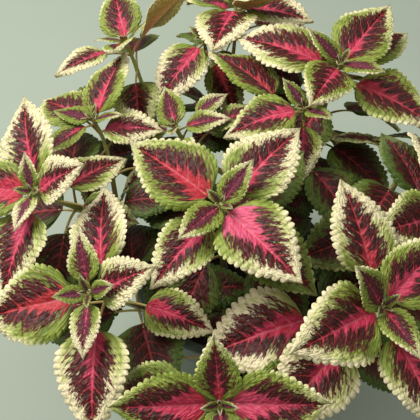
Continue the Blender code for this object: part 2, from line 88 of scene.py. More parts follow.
# One value for each leaf pair, the youngest first. Lengths are in millimetres and angles in degrees.
PAIR_BELOW_TIP = (1.5, 4.0, 12.0, 27.0, 50.0, 76.0, 103.0)
PAIR_PETIOLE = (2.5, 8.0, 16.0, 23.0, 28.0, 30.0, 30.0)
PAIR_RISE = (32.0, 20.0, 14.0, 8.0, 0.0, -8.0, -8.0)
PAIR_ARCH = (16.0, 24.0, 30.0, 34.0, 36.0, 38.0, 40.0)
PETIOLE_LIFT = (4.0, 12.0, 24.0, 32.0, 36.0, 38.0, 38.0)
PAIR_LEVELLED = (0.0, 0.0, 0.0, 0.3, 0.6, 0.8, 1.0)
PAIR_TEETH = (3, 4, 4, 3, 3, 3, 3)
TWO_TEETH_UNDER = 30.0
THREE_TEETH_UNDER = 57.0

print(f"the pot is {POT_HEIGHT:.0f} mm high and {2 * (POT_TOP_RADIUS + RIM_PROUD):.0f} mm across its rim")


# %% What the plan says of a shoot and of a stem
@dataclass
class Shoot:
    """One growing tip: where it is, where it leans, and its blades' lengths, the youngest pair first."""

    name: str
    tip: tuple
    lean: float
    toward: float
    turn: float
    blades: tuple
    changes: dict = field(default_factory=dict)


@dataclass
class Stem:
    """A leafy stem: its foot on the soil, the place where it forks, and the shoots that it ends in."""

    name: str
    foot: tuple
    fork: tuple
    shoots: tuple


# %% The plan of the plant
STEMS = (
    Stem("middle", (-6, -14), (-10, -30, 212), (
        Shoot("middle", (-13, -59, 317), 12, 225, 47, (34, 68, 66, 62, 64, 66, 62), {
            "0b": {"blade": 38, "rise": 24},
            "1a": {"turn": 141, "rise": 14, "petiole": 11},
            "1b": {"turn": 311, "rise": 10},
            "2a": {"blade": 56, "rise": 6},
            "2b": {"rise": 18},
            "4b": {"turn": 242, "rise": -20, "blade": 56},
        }),
    )),
    Stem("front", (-2, -46), (-8, -92, 196), (
        Shoot("front", (-14, -180, 275), 38, 268, 92, (38, 61, 60, 56, 64, 66, 64), {
            "0a": {"rise": 20, "blade": 44},
            "2b": {"rise": -50, "blade": 26, "petiole": 8},
            "3a": {"rise": -12},
            "3b": {"rise": -12},
            "4a": {"rise": -30, "blade": 50},
            "6a": {"petiole": 10, "rise": 8},
        }),
    )),
    Stem("front_left", (-38, -36), (-64, -70, 198), (
        Shoot("front_left", (-99, -107, 285), 30, 235, 188, (22, 36, 58, 62, 60, 66, 64), {
            "1a": {"turn": 262},
            "1b": {"turn": 90},
            "2a": {"turn": 15, "blade": 50, "rise": 34, "petiole": 8},
            "2b": {"turn": 190, "blade": 70},
            "3a": {"turn": 89, "roll": 10, "fold": 14},
            "3b": {"turn": 263, "petiole": 28, "blade": 69},
            "4b": {"turn": 338, "blade": 52, "petiole": 24, "rise": 6},
        }),
    )),
    Stem("front_right", (36, -36), (58, -72, 200), (
        Shoot("front_right", (91, -118, 286), 25, 310, 135, (36, 60, 64, 62, 64, 68, 64), {
            "0a": {"blade": 40, "turn": 145, "rise": 40},
            "0b": {"blade": 38, "turn": 300},
            "1a": {"turn": 207, "blade": 70},
            "1b": {"turn": 52},
            "2a": {"turn": 300, "petiole": 22},
            "2b": {"turn": 113, "petiole": 26},
            "3b": {"turn": 232, "rise": -6, "blade": 70, "petiole": 38},
            "4a": {"turn": 199, "blade": 76, "petiole": 38},
            "4b": {"turn": 10},
            "6b": {"turn": 30, "petiole": 10, "rise": 8},
        }),
    )),
    Stem("left", (-52, 4), (-90, 6, 200), (
        Shoot("left", (-146, -24, 285), 32, 225, 80, (27, 50, 64, 56, 64, 66, 62), {
            "0b": {"turn": 252, "blade": 31},
            "1a": {"blade": 60},
            "1b": {"turn": 10, "rise": 34},
            "2a": {"blade": 66, "turn": 242},
            "2b": {"turn": 91},
            "3a": {"turn": 345, "rise": -26, "blade": 44},
            "3b": {"turn": 43, "petiole": 14, "rise": -22},
        }),
        Shoot("left_back", (-111, 56, 275), 28, 160, 160, (28, 46, 48, 50, 60, 62), {
            "0a": {"blade": 32, "roll": 16},
            "0b": {"turn": 345, "rise": 6, "blade": 24},
            "1a": {"turn": 211, "blade": 40, "rise": 8, "roll": 24},
            "1b": {"turn": 64, "blade": 62, "rise": 26},
            "2a": {"turn": 350, "rise": -16, "petiole": 5, "roll": -44},
            "2b": {"turn": 137, "blade": 60, "rise": 32},
            "3a": {"rise": -14},
            "3b": {"blade": 36, "rise": -24},
        }),
    )),
    Stem("back_left", (-34, 40), (-60, 92, 200), (
        Shoot("far_left", (-90, 140, 280), 30, 130, 185, (24, 44, 48, 56, 62, 64, 62), {
            "1b": {"turn": 100, "rise": 44, "blade": 54},
            "2a": {"turn": 15, "rise": 34, "blade": 60, "roll": 60, "arch": 10},
            "2b": {"turn": 203, "petiole": 20, "roll": 34},
            "3b": {"rise": -20},
        }),
    )),
    Stem("back", (4, 50), (-8, 108, 198), (
        Shoot("far", (2, 180, 285), 30, 95, 120, (28, 60, 60, 60, 64, 64, 62), {
            "1a": {"turn": 256, "rise": -12, "arch": 20, "blade": 68},
            "1b": {"turn": 352, "rise": 8, "roll": -50},
            "3b": {"turn": 235, "rise": -10, "blade": 50},
        }),
        Shoot("far_middle", (-25, 136, 286), 10, 250, 140, (14, 60, 50), {
            "1a": {"turn": 231, "rise": -6, "roll": 8},
            "1b": {"blade": 34, "rise": -24},
            "2a": {"turn": 300, "rise": -36},
            "2b": {"blade": 36, "rise": -40},
        }),
    )),
    Stem("back_right", (38, 36), (60, 64, 205), (
        Shoot("far_corner", (88, 148, 244), 34, 55, 20, (30, 54, 60, 62, 62), {}),
        Shoot("far_right", (82, 93, 299), 14, 300, 148, (35, 51, 72, 60, 66, 68), {
            "1a": {"turn": 241, "blade": 57},
            "1b": {"turn": 53, "blade": 64, "rise": 32},
            "2a": {"turn": 331, "rise": 0, "petiole": 20, "below": 20},
            "2b": {"turn": 157, "rise": 5, "blade": 74},
            "3a": {"turn": 38, "petiole": 30, "rise": 20},
            "3b": {"rise": -16},
            "4b": {"below": 76, "turn": 317, "petiole": 20},
        }),
    )),
    Stem("core", (8, 12), (22, 24, 205), (
        Shoot("core", (51, 46, 298), 12, 230, 130, (26, 58, 60, 60, 66, 66), {
            "1a": {"turn": 194, "rise": 6, "arch": 46},
            "2a": {"turn": 268, "petiole": 7, "blade": 44, "rise": -24},
            "1b": {"blade": 34, "rise": -30},
            "2b": {"turn": 141, "blade": 66, "petiole": 36, "below": 27},
        }),
        Shoot("hollow", (-47, 51, 272), 14, 150, 100, (34, 31, 44, 50), {
            "0a": {"blade": 38},
            "0b": {"blade": 20},
            "1a": {"turn": 172, "rise": 20, "roll": 26},
            "1b": {"turn": 355, "rise": 2, "blade": 36, "roll": -20},
            "2b": {"turn": 35, "petiole": 22, "blade": 31, "roll": -30},
        }),
    )),
    Stem("right", (52, 0), (96, -8, 200), (
        Shoot("right", (150, -40, 282), 34, 345, 20, (34, 58, 62, 62, 66, 66, 62), {}),
        Shoot("right_back", (152, 46, 266), 32, 20, 60, (30, 52, 58, 60, 64, 64), {
            "1a": {"blade": 36, "rise": -30},
        }),
    )),
)

print(len(STEMS), "stems with", sum(len(stem.shoots) for stem in STEMS), "growing tips")

# %% [markdown]
# The stems' paths. A coleus stem comes up out of the soil, forks, and each branch leans out to its own
# growing tip. Straight rods would look like wire. A cubic curve takes a direction at each of its ends, so a
# stem leaves the soil upright and reaches its tip with the lean that the plan gives.

# %% The paths of the stems
PATH_PULL = 0.36


def compass(turn, rise=0.0):
    """The direction of a bearing, counter-clockwise from +X, and a height above the horizon."""
    turn, rise = math.radians(turn), math.radians(rise)
    return Vector((math.cos(rise) * math.cos(turn), math.cos(rise) * math.sin(turn), math.sin(rise)))


def smooth_path(start, start_way, end, end_way, steps):
    """Points on the curve that leaves start along start_way and reaches end along end_way."""
    reach = (end - start).length * PATH_PULL
    a, b, c, d = start, start + start_way * reach, end - end_way * reach, end
    points = []
    for i in range(steps + 1):
        t = i / steps
        u = 1.0 - t
        points.append(a * u**3 + b * (3 * t * u * u) + c * (3 * t * t * u) + d * t**3)
    return points


def stem_paths(stem):
    """The trunk's path from its foot to the fork, and each shoot's path from the fork to its tip."""
    soil = Vector((*stem.foot, POT_HEIGHT - SOIL_BELOW_RIM + SOIL_CROWN))
    fork = Vector(stem.fork)
    fork_way = ((fork - soil).normalized() + UP * 0.6).normalized()
    foot = soil.copy()
    foot.z = POT_HEIGHT - SOIL_BELOW_RIM - HOLE_DEPTH + TOUCHING_GAP
    trunk = [foot, *smooth_path(soil, UP, fork, fork_way, STEM_STEPS)]
    branches = {}
    for shoot in stem.shoots:
        tip = Vector(shoot.tip)
        way = ((tip - fork).normalized() + fork_way * 0.4).normalized()
        tip_way = compass(shoot.toward, 90.0 - shoot.lean)
        branches[shoot.name] = smooth_path(fork, way, tip, tip_way, BRANCH_STEPS)
    return trunk, branches


def back_from_tip(points, distance):
    """The point this far back along a path from its end, and the way that the path runs there."""
    for low, high in zip(reversed(points[:-1]), reversed(points[1:])):
        length = (high - low).length
        if distance <= length:
            return high.lerp(low, distance / length), (high - low).normalized()
        distance -= length
    return points[0].copy(), (points[1] - points[0]).normalized()


print("the middle stem has", len(stem_paths(STEMS[0])[0]), "points from its foot to its fork")

# %% [markdown]
# Where each leaf goes. A leaf's middle line is two arcs in one plane: the stalk lifts the blade away from the
# stem, and the blade then droops a little towards its tip. A leaf could be rotated into place as an object,
# but a line that bends gives the soft habit of a living leaf, so every leaf is built along its own line.

# %% What the rule gives a leaf
BLADE_FOLD = 9.0


def leaf_plan(shoot, pair, side):
    """What the rule gives a leaf, with the changes that this leaf has."""
    blade = shoot.blades[pair]
    leaf = {
        "turn": shoot.turn + 90.0 * pair + (180.0 if side == "b" else 0.0),
        "rise": PAIR_RISE[pair],
        "arch": PAIR_ARCH[pair],
        "blade": blade,
        "petiole": PAIR_PETIOLE[pair],
        "lift": PETIOLE_LIFT[pair],
        "below": PAIR_BELOW_TIP[pair],
        "fold": BLADE_FOLD,
        "roll": 0.0,
    }
    leaf.update(shoot.changes.get(f"{pair}{side}", {}))
    fits = 2 if leaf["blade"] < TWO_TEETH_UNDER else 3 if leaf["blade"] < THREE_TEETH_UNDER else 4
    leaf["teeth"] = min(PAIR_TEETH[pair], fits)
    return leaf


print("a leaf's plan:", ", ".join(leaf_plan(STEMS[0].shoots[0], 1, "a")))

# %% The middle line of a leaf
OFF_AXIS = 0.35


def leaf_line(root, axis, leaf):
    """A leaf's middle line, as a function of a share: 0 at the stem, 1 at the blade's base, 2 at its tip.

    It gives a point, the way across the leaf and the way that the upper face looks. The stalk and the
    blade are two arcs that lie in one plane with the stem's axis.
    """
    out = compass(leaf["turn"])
    out = (out - axis * out.dot(axis)).normalized()
    side = out.cross(axis)
    steep = math.radians(leaf["rise"] + leaf["lift"])
    level = math.radians(leaf["rise"])
    low = math.radians(leaf["rise"] - leaf["arch"])

    def way(angle):
        return out * math.cos(angle) + axis * math.sin(angle)

    def arc(start, first, last, length, share):
        turned = (last - first) * share
        chord = length * share
        if abs(turned) > 1e-6:
            chord *= math.sin(turned / 2) / (turned / 2)
        return start + way(first + turned / 2) * chord

    root = root + out * OFF_AXIS
    base = arc(root, steep, level, leaf["petiole"], 1.0)

    def at(share):
        if share <= 1.0:
            angle = steep + (level - steep) * share
            point = arc(root, steep, level, leaf["petiole"], share)
        else:
            angle = level + (low - level) * (share - 1.0)
            point = arc(base, level, low, leaf["blade"], share - 1.0)
        forward = way(angle)
        return point, side, side.cross(forward)

    return at


sample_plan = leaf_plan(STEMS[0].shoots[0], 1, "a")
sample_leaf = leaf_line(Vector(), UP, sample_plan)
print(f"the tip of that leaf is {sample_leaf(2.0)[0].length:.0f} mm from its root")

# %% How wide a blade is
NARROWEST = 0.46
WIDER_BY_LENGTH = 0.0042
OUTLINE_BASE = 0.50
OUTLINE_TIP = 1.08


def blade_half(leaf):
    """Half the widest part of a blade. Small, young leaves are slimmer than old ones."""
    return leaf["blade"] * (NARROWEST + WIDER_BY_LENGTH * leaf["blade"]) / 2


def half_width(share):
    """Half the blade's width as a share of its widest, from its base at 0 to its tip at 1."""
    widest = OUTLINE_BASE / (OUTLINE_BASE + OUTLINE_TIP)
    top = widest**OUTLINE_BASE * (1.0 - widest) ** OUTLINE_TIP
    return share**OUTLINE_BASE * (1.0 - share) ** OUTLINE_TIP / top


for length in (30.0, 66.0):
    print(f"a blade {length:.0f} mm long is {2.0 * blade_half({'blade': length}):.0f} mm wide")


# %% [markdown]
# Leaves that would touch are bent clear. On the plant, leaves push each other aside. Here a plain stand-in of
# each leaf is tried against all that has its place already, and it is nodded, swung or shrunk until it is
# free. The stand-in is the solid frame's own leaf, so each fine leaf ends in the place that its solid has.

# %% A face thickened into a solid
def thicken(bm, thick, keels):
    """Extrude the upper face down by each corner's depth, and close the stalk's lower corners to a keel."""
    depths = {tuple(vert.co): depth for vert, depth in thick.items()}
    lower = {}
    for item in bmesh.ops.extrude_face_region(bm, geom=list(bm.faces))["geom"]:
        if isinstance(item, bmesh.types.BMVert):
            lower[tuple(item.co)] = item
            item.co -= depths[tuple(item.co)]
    for ends in keels:
        pair = [lower[end] for end in ends]
        bmesh.ops.pointmerge(bm, verts=pair, merge_co=(pair[0].co + pair[1].co) / 2)
    bmesh.ops.recalc_face_normals(bm, faces=bm.faces)


# %% The plain stand-in of a leaf
BLADE_THICK = 0.9
MIDRIB_THICK = 1.7
PETIOLE_THICK = 2.0
PETIOLE_HALF = 1.1
YOUNG_PETIOLE = 0.75
LAST_TEETH = 0.90
TOOTH_OUT = 1.10
NOTCH_IN = 0.93
TOOTH_AT = 0.60
TOOTH_CURL = 0.05


def leaf_body(at, leaf, grown=0.0, start=0.0):
    """One leaf as a closed bmesh, in millimetres: a keeled stalk that opens into a folded, scalloped blade.

    Its upper face is a strip of triangles on both sides of the midrib, extruded down by its thickness.
    The stalk's lower corners then meet in its keel. grown makes the leaf fatter all over, and start leaves
    off the first part of the stalk.
    """
    bm = bmesh.new()
    thick = {}
    fold = math.radians(leaf["fold"])
    roll = math.radians(leaf["roll"])
    widest = blade_half(leaf)

    def put(share, across, depth, curl=0.0):
        point, side, normal = at(share)
        twist = roll * max(share - 1.0, 0.0) ** 0.5
        side, normal = (
            side * math.cos(twist) + normal * math.sin(twist),
            normal * math.cos(twist) - side * math.sin(twist),
        )
        lift = abs(across) * math.sin(fold) + curl
        spot = point + side * (across * math.cos(fold)) + normal * (lift + grown)
        vert = bm.verts.new(spot)
        thick[vert] = normal * (depth + 2.0 * grown)
        return vert

    def face(*verts):
        bm.faces.new(verts)

    stout = YOUNG_PETIOLE if leaf["petiole"] < PAIR_PETIOLE[2] / 2 else 1.0
    stalk_half = PETIOLE_HALF * stout + grown
    root_left, root_right = (put(start, x, PETIOLE_THICK * stout) for x in (-stalk_half, stalk_half))
    left, right = (put(1.0, x, PETIOLE_THICK * stout) for x in (-stalk_half, stalk_half))
    middle = None
    face(root_left, root_right, right)
    face(root_left, right, left)
    keels = [[tuple(vert.co) for vert in ends] for ends in ((root_left, root_right), (left, right))]

    teeth = leaf["teeth"]
    for i in range(teeth):
        near = LAST_TEETH * i / teeth
        far = LAST_TEETH * (i + 1) / teeth
        peak = near + (far - near) * TOOTH_AT
        tooth = half_width(peak) * widest * TOOTH_OUT + grown
        notch = half_width(far) * widest * NOTCH_IN + grown
        curl = tooth * TOOTH_CURL
        left_tooth = put(1.0 + peak, -tooth, BLADE_THICK, curl)
        right_tooth = put(1.0 + peak, tooth, BLADE_THICK, curl)
        next_left = put(1.0 + far, -notch, BLADE_THICK)
        next_right = put(1.0 + far, notch, BLADE_THICK)
        face(left, next_left, left_tooth)
        face(right, right_tooth, next_right)
        next_middle = put(1.0 + far, 0.0, MIDRIB_THICK) if i < teeth - 1 else middle
        face(left, next_middle, next_left)
        face(right, next_right, next_middle)
        if middle is None:
            face(left, right, next_middle)
        elif middle is not next_middle:
            face(left, middle, next_middle)
            face(middle, right, next_middle)
        left, middle, right = next_left, next_middle, next_right
    tip = put(2.0, 0.0, BLADE_THICK)
    face(left, middle, tip)
    face(middle, right, tip)

    thicken(bm, thick, keels)
    return bm


sample_body = leaf_body(sample_leaf, sample_plan)
print("its stand-in has", len(sample_body.faces), "faces")
sample_body.free()

# %% The space that is already filled
CLEARANCE = 0.7


def ball_around(points):
    """A ball that holds these points, as its middle and radius."""
    middle = sum(points, Vector()) / len(points)
    return middle, max((point - middle).length for point in points)


class Taken:
    """The space that is already filled: a search tree, the ball around it, and whose it is."""

    def __init__(self, bm, owner=None):
        self.tree = BVHTree.FromBMesh(bm)
        self.middle, self.radius = ball_around([vert.co for vert in bm.verts])
        self.owner = owner

    def meets(self, other):
        if (self.middle - other.middle).length > self.radius + other.radius:
            return False
        return bool(self.tree.overlap(other.tree))


def fat_leaf(at, leaf, start):
    """The space that a leaf needs, from this share of its stalk on."""
    body = leaf_body(at, leaf, grown=CLEARANCE / 2, start=start)
    space = Taken(body)
    body.free()
    return space


def tube_space(points, first, last, owner):
    """The space round a stem, as a four-sided tube a little wider than the stem."""
    bm = bmesh.new()
    rings = []
    for i, point in enumerate(points):
        low = points[max(i - 1, 0)]
        high = points[min(i + 1, len(points) - 1)]
        way = (high - low).normalized()
        side = way.orthogonal().normalized()
        radius = first + (last - first) * i / (len(points) - 1) + CLEARANCE / 2
        other = way.cross(side)
        rings.append([bm.verts.new(point + spoke * radius) for spoke in (side, other, -side, -other)])
    for low, high in zip(rings, rings[1:]):
        best = min(range(4), key=lambda k: (low[0].co - high[k].co).length)
        high[:] = high[best:] + high[:best]
        for k in range(4):
            bm.faces.new((low[k], low[(k + 1) % 4], high[(k + 1) % 4], high[k]))
    space = Taken(bm, owner)
    bm.free()
    return space


def pot_space():
    """The space of the pot, as a plain drum that the leaves stay out of."""
    bm = bmesh.new()
    radius = POT_TOP_RADIUS + RIM_PROUD + CLEARANCE
    made = bmesh.ops.create_cone(
        bm, cap_ends=True, segments=24, radius1=radius, radius2=radius, depth=POT_HEIGHT + CLEARANCE
    )
    bmesh.ops.translate(bm, verts=made["verts"], vec=UP * (POT_HEIGHT / 2 - 1.0))
    space = Taken(bm)
    bm.free()
    return space


# %% Nod, swing or shrink a leaf until it is free
ROOT_LENGTH = 5.0
FREE_STALK = 0.6
BLADE_FROM = 0.95
NODS = (0.0, 6.0, -6.0, 12.0, -12.0, 19.0, -19.0, 27.0, -27.0)
SWINGS = (0.0, 8.0, -8.0, 16.0, -16.0)
SHRINKS = (1.0, 0.9, 0.8, 0.68)


def settle(plan, root, axis, owners, filled):
    """The first way of bending a leaf that keeps it clear of all that is filled, or None.

    owners are the shoot and the stem that it grows on, which only its blade is kept clear of. The root of
    the stalk, where it leaves the stem beside its twin, is kept clear of nothing.
    """
    for shrink in SHRINKS:
        for swing in SWINGS:
            for nod in NODS:
                leaf = dict(plan)
                leaf["turn"] += swing
                leaf["rise"] += nod
                leaf["blade"] *= shrink
                at = leaf_line(root, axis, leaf)
                space = fat_leaf(at, leaf, min(FREE_STALK, ROOT_LENGTH / leaf["petiole"]))
                if any(space.meets(other) for other in filled if other.owner not in owners):
                    continue
                blade = fat_leaf(at, leaf, BLADE_FROM)
                if any(blade.meets(other) for other in filled if other.owner in owners):
                    continue
                return leaf, at, space
    return None


print(len(NODS) * len(SWINGS) * len(SHRINKS), "ways of bending a leaf are tried at most")


# %% Give every leaf its place
def settle_leaves():
    """Every leaf in its place, as a list for each stem. The top leaves of every shoot are placed first."""
    filled = [pot_space()]
    paths = {}
    for stem in STEMS:
        trunk, branches = stem_paths(stem)
        paths[stem.name] = trunk, branches
        filled.append(tube_space(trunk[2:], STEM_RADIUS, FORK_RADIUS, stem.name))
        for name, points in branches.items():
            filled.append(tube_space(points, FORK_RADIUS, TIP_RADIUS, name))
    leaves = {stem.name: [] for stem in STEMS}
    for pair in range(max(len(shoot.blades) for stem in STEMS for shoot in stem.shoots)):
        for stem in STEMS:
            for shoot in stem.shoots:
                if pair >= len(shoot.blades):
                    continue
                trunk, branches = paths[stem.name]
                line = [*trunk[1:-1], *branches[shoot.name]]
                for side in "ab":
                    plan = leaf_plan(shoot, pair, side)
                    root, axis = back_from_tip(line, plan["below"])
                    axis = axis.lerp(UP, PAIR_LEVELLED[pair]).normalized()
                    found = settle(plan, root, axis, (shoot.name, stem.name), filled)
                    if found is None:
                        continue
                    leaf, at, space = found
                    filled.append(space)
                    leaves[stem.name].append((f"{shoot.name} {pair}{side}", leaf, at))
    return paths, leaves


PATHS, LEAVES = settle_leaves()
print(sum(len(leaves) for leaves in LEAVES.values()), "leaves have their place")

# %% [markdown]
# A fine blade. A coleus blade is oval with a drawn-out tip, and its edge is a row of round scallops. A flat
# card with a cut-out picture would lose all of that from the side. A grid of rows and columns, bent along the
# leaf's own line, keeps it: the rows are set so that each scallop has its own notch and crown. A blade that
# lies deep in the shade gets fewer rows and columns.

# %% Rows, columns and the scalloped edge
TOOTHED_FROM = 0.05
TOOTHED_TO = 0.89
FINE_STEPS = (0.0, 0.16, 0.36, 0.58, 0.78, 0.92)
PLAIN_STEPS = (0.0, 0.28, 0.62, 0.88)
FINE_ACROSS = (0.05, 0.17, 0.34, 0.52, 0.70, 0.85, 0.94, 1.0)
PLAIN_ACROSS = (0.06, 0.30, 0.56, 0.82, 1.0)
FINE_UNDER_SHADE = 0.3
BASE_ROWS = ((0.0, -0.9), (0.008, -0.7), (0.025, -0.4))
TIP_ROWS = ((TOOTHED_TO, 0.0), (0.925, 0.4), (0.96, 0.6), (0.985, 0.8), (1.0, 0.9))
UNEVEN_SCALLOPS = 0.14


def smooth(low, high, value):
    """0 below low, 1 above high, and an even bend between."""
    share = np.clip((value - low) / (high - low), 0.0, 1.0)
    return share * share * (3.0 - 2.0 * share)


def scallops_of(blade):
    """Scallops on each side: a grown leaf has the most."""
    for longer_than, count in ((58.0, 13), (46.0, 12), (30.0, 10), (16.0, 7)):
        if blade > longer_than:
            return count
    return 5


def rows_of(count, steps, draw):
    """Shares along the blade and the scallop that each is in: no two scallops are just as long."""
    inner = [i + draw.uniform(-UNEVEN_SCALLOPS, UNEVEN_SCALLOPS) for i in range(1, count)]
    cuts = [0.0, *inner, float(count)]
    rows = list(BASE_ROWS)
    for i in range(count):
        for step in steps:
            place = cuts[i] + (cuts[i + 1] - cuts[i]) * step
            rows.append((TOOTHED_FROM + (TOOTHED_TO - TOOTHED_FROM) * place / count, i + step))
    rows += [(share, count + past) for share, past in TIP_ROWS]
    return np.array(rows)


def columns_of(across):
    """Shares across the blade, from -1 on its left edge to 1 on its right."""
    return np.array([-q for q in reversed(across)] + [0.0] + list(across))


def scallop(turns):
    """How far a scallop stands out, 0 at each notch and 1 at each crown, which leans to the blade's tip."""
    part = np.clip(turns - np.floor(turns), 0.0, 1.0) ** 1.25
    return np.sin(np.pi * part) ** 0.5


for length in (24.0, 66.0):
    print(f"a blade {length:.0f} mm long has {scallops_of(length)} scallops a side")


# %% [markdown]
# The quilting. The skin of a coleus leaf is puffed up between its side veins, its midrib lies in a groove,
# and its edge waves a little. A bump could shade it, but a bump lies flat in the outline and in the shadows.
# So the relief is a height in millimetres, added up from a few waves. The waves count the side veins, and
# the paint uses the same count, so the veins are painted into the seams.

# %% The side veins and the quilted relief
SIDE_VEINS = 7.5
VEIN_START = 0.15

# Heights as shares of the blade's length.
PANEL_PUFF = 0.016
SMALL_PUFF = 0.007
BEAD_PUFF = 0.002
MIDRIB_GROOVE = 0.013
MIDRIB_WIDTH = 0.06
EDGE_DROOP = 0.024
EDGE_WAVE = 0.018
EDGE_RIPPLE = 0.008


def vein_turns(s, q):
    """Counts the side veins: it is whole on each vein, and they run out and forward from the midrib."""
    reach = 0.27 * np.abs(q) + 0.09 * q * q
    return SIDE_VEINS * (s - half_width(np.clip(s, 0.0, 1.0)) * reach) + VEIN_START


def relief(s, q, turns, crown, length, seed):
    """How far the skin is raised, in millimetres: quilted panels, beaded scallops, a grooved midrib."""
    a = np.abs(q)
    panel = np.abs(np.sin(np.pi * turns)) ** 0.7
    small = np.abs(np.sin(2.0 * np.pi * turns + 0.6)) ** 0.8
    height = PANEL_PUFF * panel * smooth(0.02, 0.2, a) * (1.0 - smooth(0.8, 1.0, a))
    height += SMALL_PUFF * small * smooth(0.4, 0.65, a) * (1.0 - smooth(0.88, 1.0, a))
    height += BEAD_PUFF * crown * smooth(0.82, 0.93, a) * (1.0 - smooth(0.93, 1.02, a))
    height -= MIDRIB_GROOVE * np.exp(-((a / MIDRIB_WIDTH) ** 2))
    height -= EDGE_DROOP * a**4
    height += EDGE_WAVE * np.sin(2.0 * np.pi * (1.4 * s + seed) + np.sign(q)) * a * a
    height += EDGE_RIPPLE * np.sin(2.0 * np.pi * (3.7 * s - 2.0 * seed) - 1.3 * np.sign(q)) * a**3
    return height * length * smooth(0.0, 0.06, s)


print(f"the panels of a blade 66 mm long are puffed up by {PANEL_PUFF * 66.0:.1f} mm")

# %% The two skins of a blade
SCALLOP_HEIGHT = 0.036
SCALLOP_SIZES = (0.75, 1.2)
NARROWEST_HALF = 0.7
SKIN_THICK = 0.35
RIB_THICK = 1.0
RIB_WIDTH = 0.05


def blade_skin(at, leaf, seed, fine):
    """The upper and lower skin of a blade, with what the leaf marking has to know of every point."""
    length = leaf["blade"]
    count = scallops_of(length)
    draw = random.Random(f"edge {seed}")
    rows, teeth = rows_of(count, FINE_STEPS if fine else PLAIN_STEPS, draw).T
    columns = columns_of(FINE_ACROSS if fine else PLAIN_ACROSS)
    s, q = np.meshgrid(rows, columns, indexing="ij")
    tooth, _ = np.meshgrid(teeth, columns, indexing="ij")
    a = np.abs(q)
    toothed = smooth(-0.4, 0.6, tooth) * (1.0 - smooth(count - 0.6, count + 0.4, tooth))
    crown = scallop(tooth) * toothed
    sizes = np.array([[draw.uniform(*SCALLOP_SIZES) for _ in range(count + 3)] for _ in (0, 1)])
    size = sizes[(q > 0).astype(int), np.clip(np.floor(tooth).astype(int) + 1, 0, count + 2)]
    stand_out = SCALLOP_HEIGHT * length * (crown * size - 0.5 * toothed)
    half = np.maximum(half_width(s) * blade_half(leaf), NARROWEST_HALF - 0.5 * s)
    x = q * half + np.sign(q) * stand_out * a**12
    turns = vein_turns(s, q)
    fold = math.radians(leaf["fold"])
    lift = math.sin(fold) * (np.sqrt(x * x + 1.4) - math.sqrt(1.4))
    lift += relief(s, q, turns, crown, length, seed)
    forward = 0.4 * np.abs(stand_out) * crown * a**6
    points, thickness = [], []
    for i, share in enumerate(rows):
        point, side, normal = at(1.0 + share)
        ahead = normal.cross(side)
        twist = math.radians(leaf["roll"]) * share**0.5
        across = side * math.cos(twist) + normal * math.sin(twist)
        up = normal * math.cos(twist) - side * math.sin(twist)
        line = np.array(point) + np.outer(x[i] * math.cos(fold), across) + np.outer(lift[i], up)
        points.append(line + np.outer(forward[i], ahead))
        rib = RIB_THICK * np.exp(-((q[i] / RIB_WIDTH) ** 2)) * (1.0 - share) * min(length / 60.0, 1.0)
        thickness.append(np.outer(SKIN_THICK + rib, up))
    upper = np.concatenate(points)
    place = np.stack([s, q, turns], axis=-1).reshape(-1, 3)
    return upper, upper - np.concatenate(thickness), place, tooth.reshape(-1), s.shape


def skin_faces(rows, columns):
    """Faces of the upper skin, the lower skin and the rim between them.

    The upper skin's points come first, row by row, and the lower skin's follow in the same order.
    """
    step = rows * columns
    index = np.arange(step).reshape(rows, columns)
    corners = (index[:-1, :-1], index[:-1, 1:], index[1:, 1:], index[1:, :-1])
    upper = np.stack(corners, axis=-1).reshape(-1, 4)
    lower = upper[:, [0, 3, 2, 1]] + step
    round_edge = np.concatenate([index[0, :], index[1:, -1], index[-1, -2::-1], index[-2:0:-1, 0]])
    onward = np.roll(round_edge, -1)
    rim = np.stack([round_edge, round_edge + step, onward + step, onward], axis=-1)
    return upper, lower, rim


print("a grown blade has", len(FINE_STEPS) * scallops_of(66.0), "rows along its scallops")

# %% [markdown]
# What sets single leaves apart. Low leaves get little light, so they are painted darker and greener, as
# painted shade, and no two upper leaves are marked alike: on one the pink flame fills half the blade, on the
# next it is a thin line, and the edge goes from green to nearly all cream. All leaves could draw this from a
# seed, and most do. The leaves that stand out in the crown have it listed, as a maker would paint them one by
# one.

# %% The shade and the paint of single leaves
# How much painted shade each pair gets, the youngest first. OWN_SHADE sets it for single leaves.
SHADE_BY_PAIR = (0.0, 0.0, 0.05, 0.35, 0.7, 0.9, 1.0)
OWN_SHADE = {
    "front_left 3a": 0.0,
    "front_left 3b": 0.0,
    "front_left 4b": 0.0,
    "front_right 3b": 0.0,
    "front_right 4a": 0.0,
    "left 3b": 0.1,
    "far_right 2b": 0.0,
    "far_right 3a": 0.1,
    "right 3b": 0.9,
    "right_back 1a": 0.7,
}

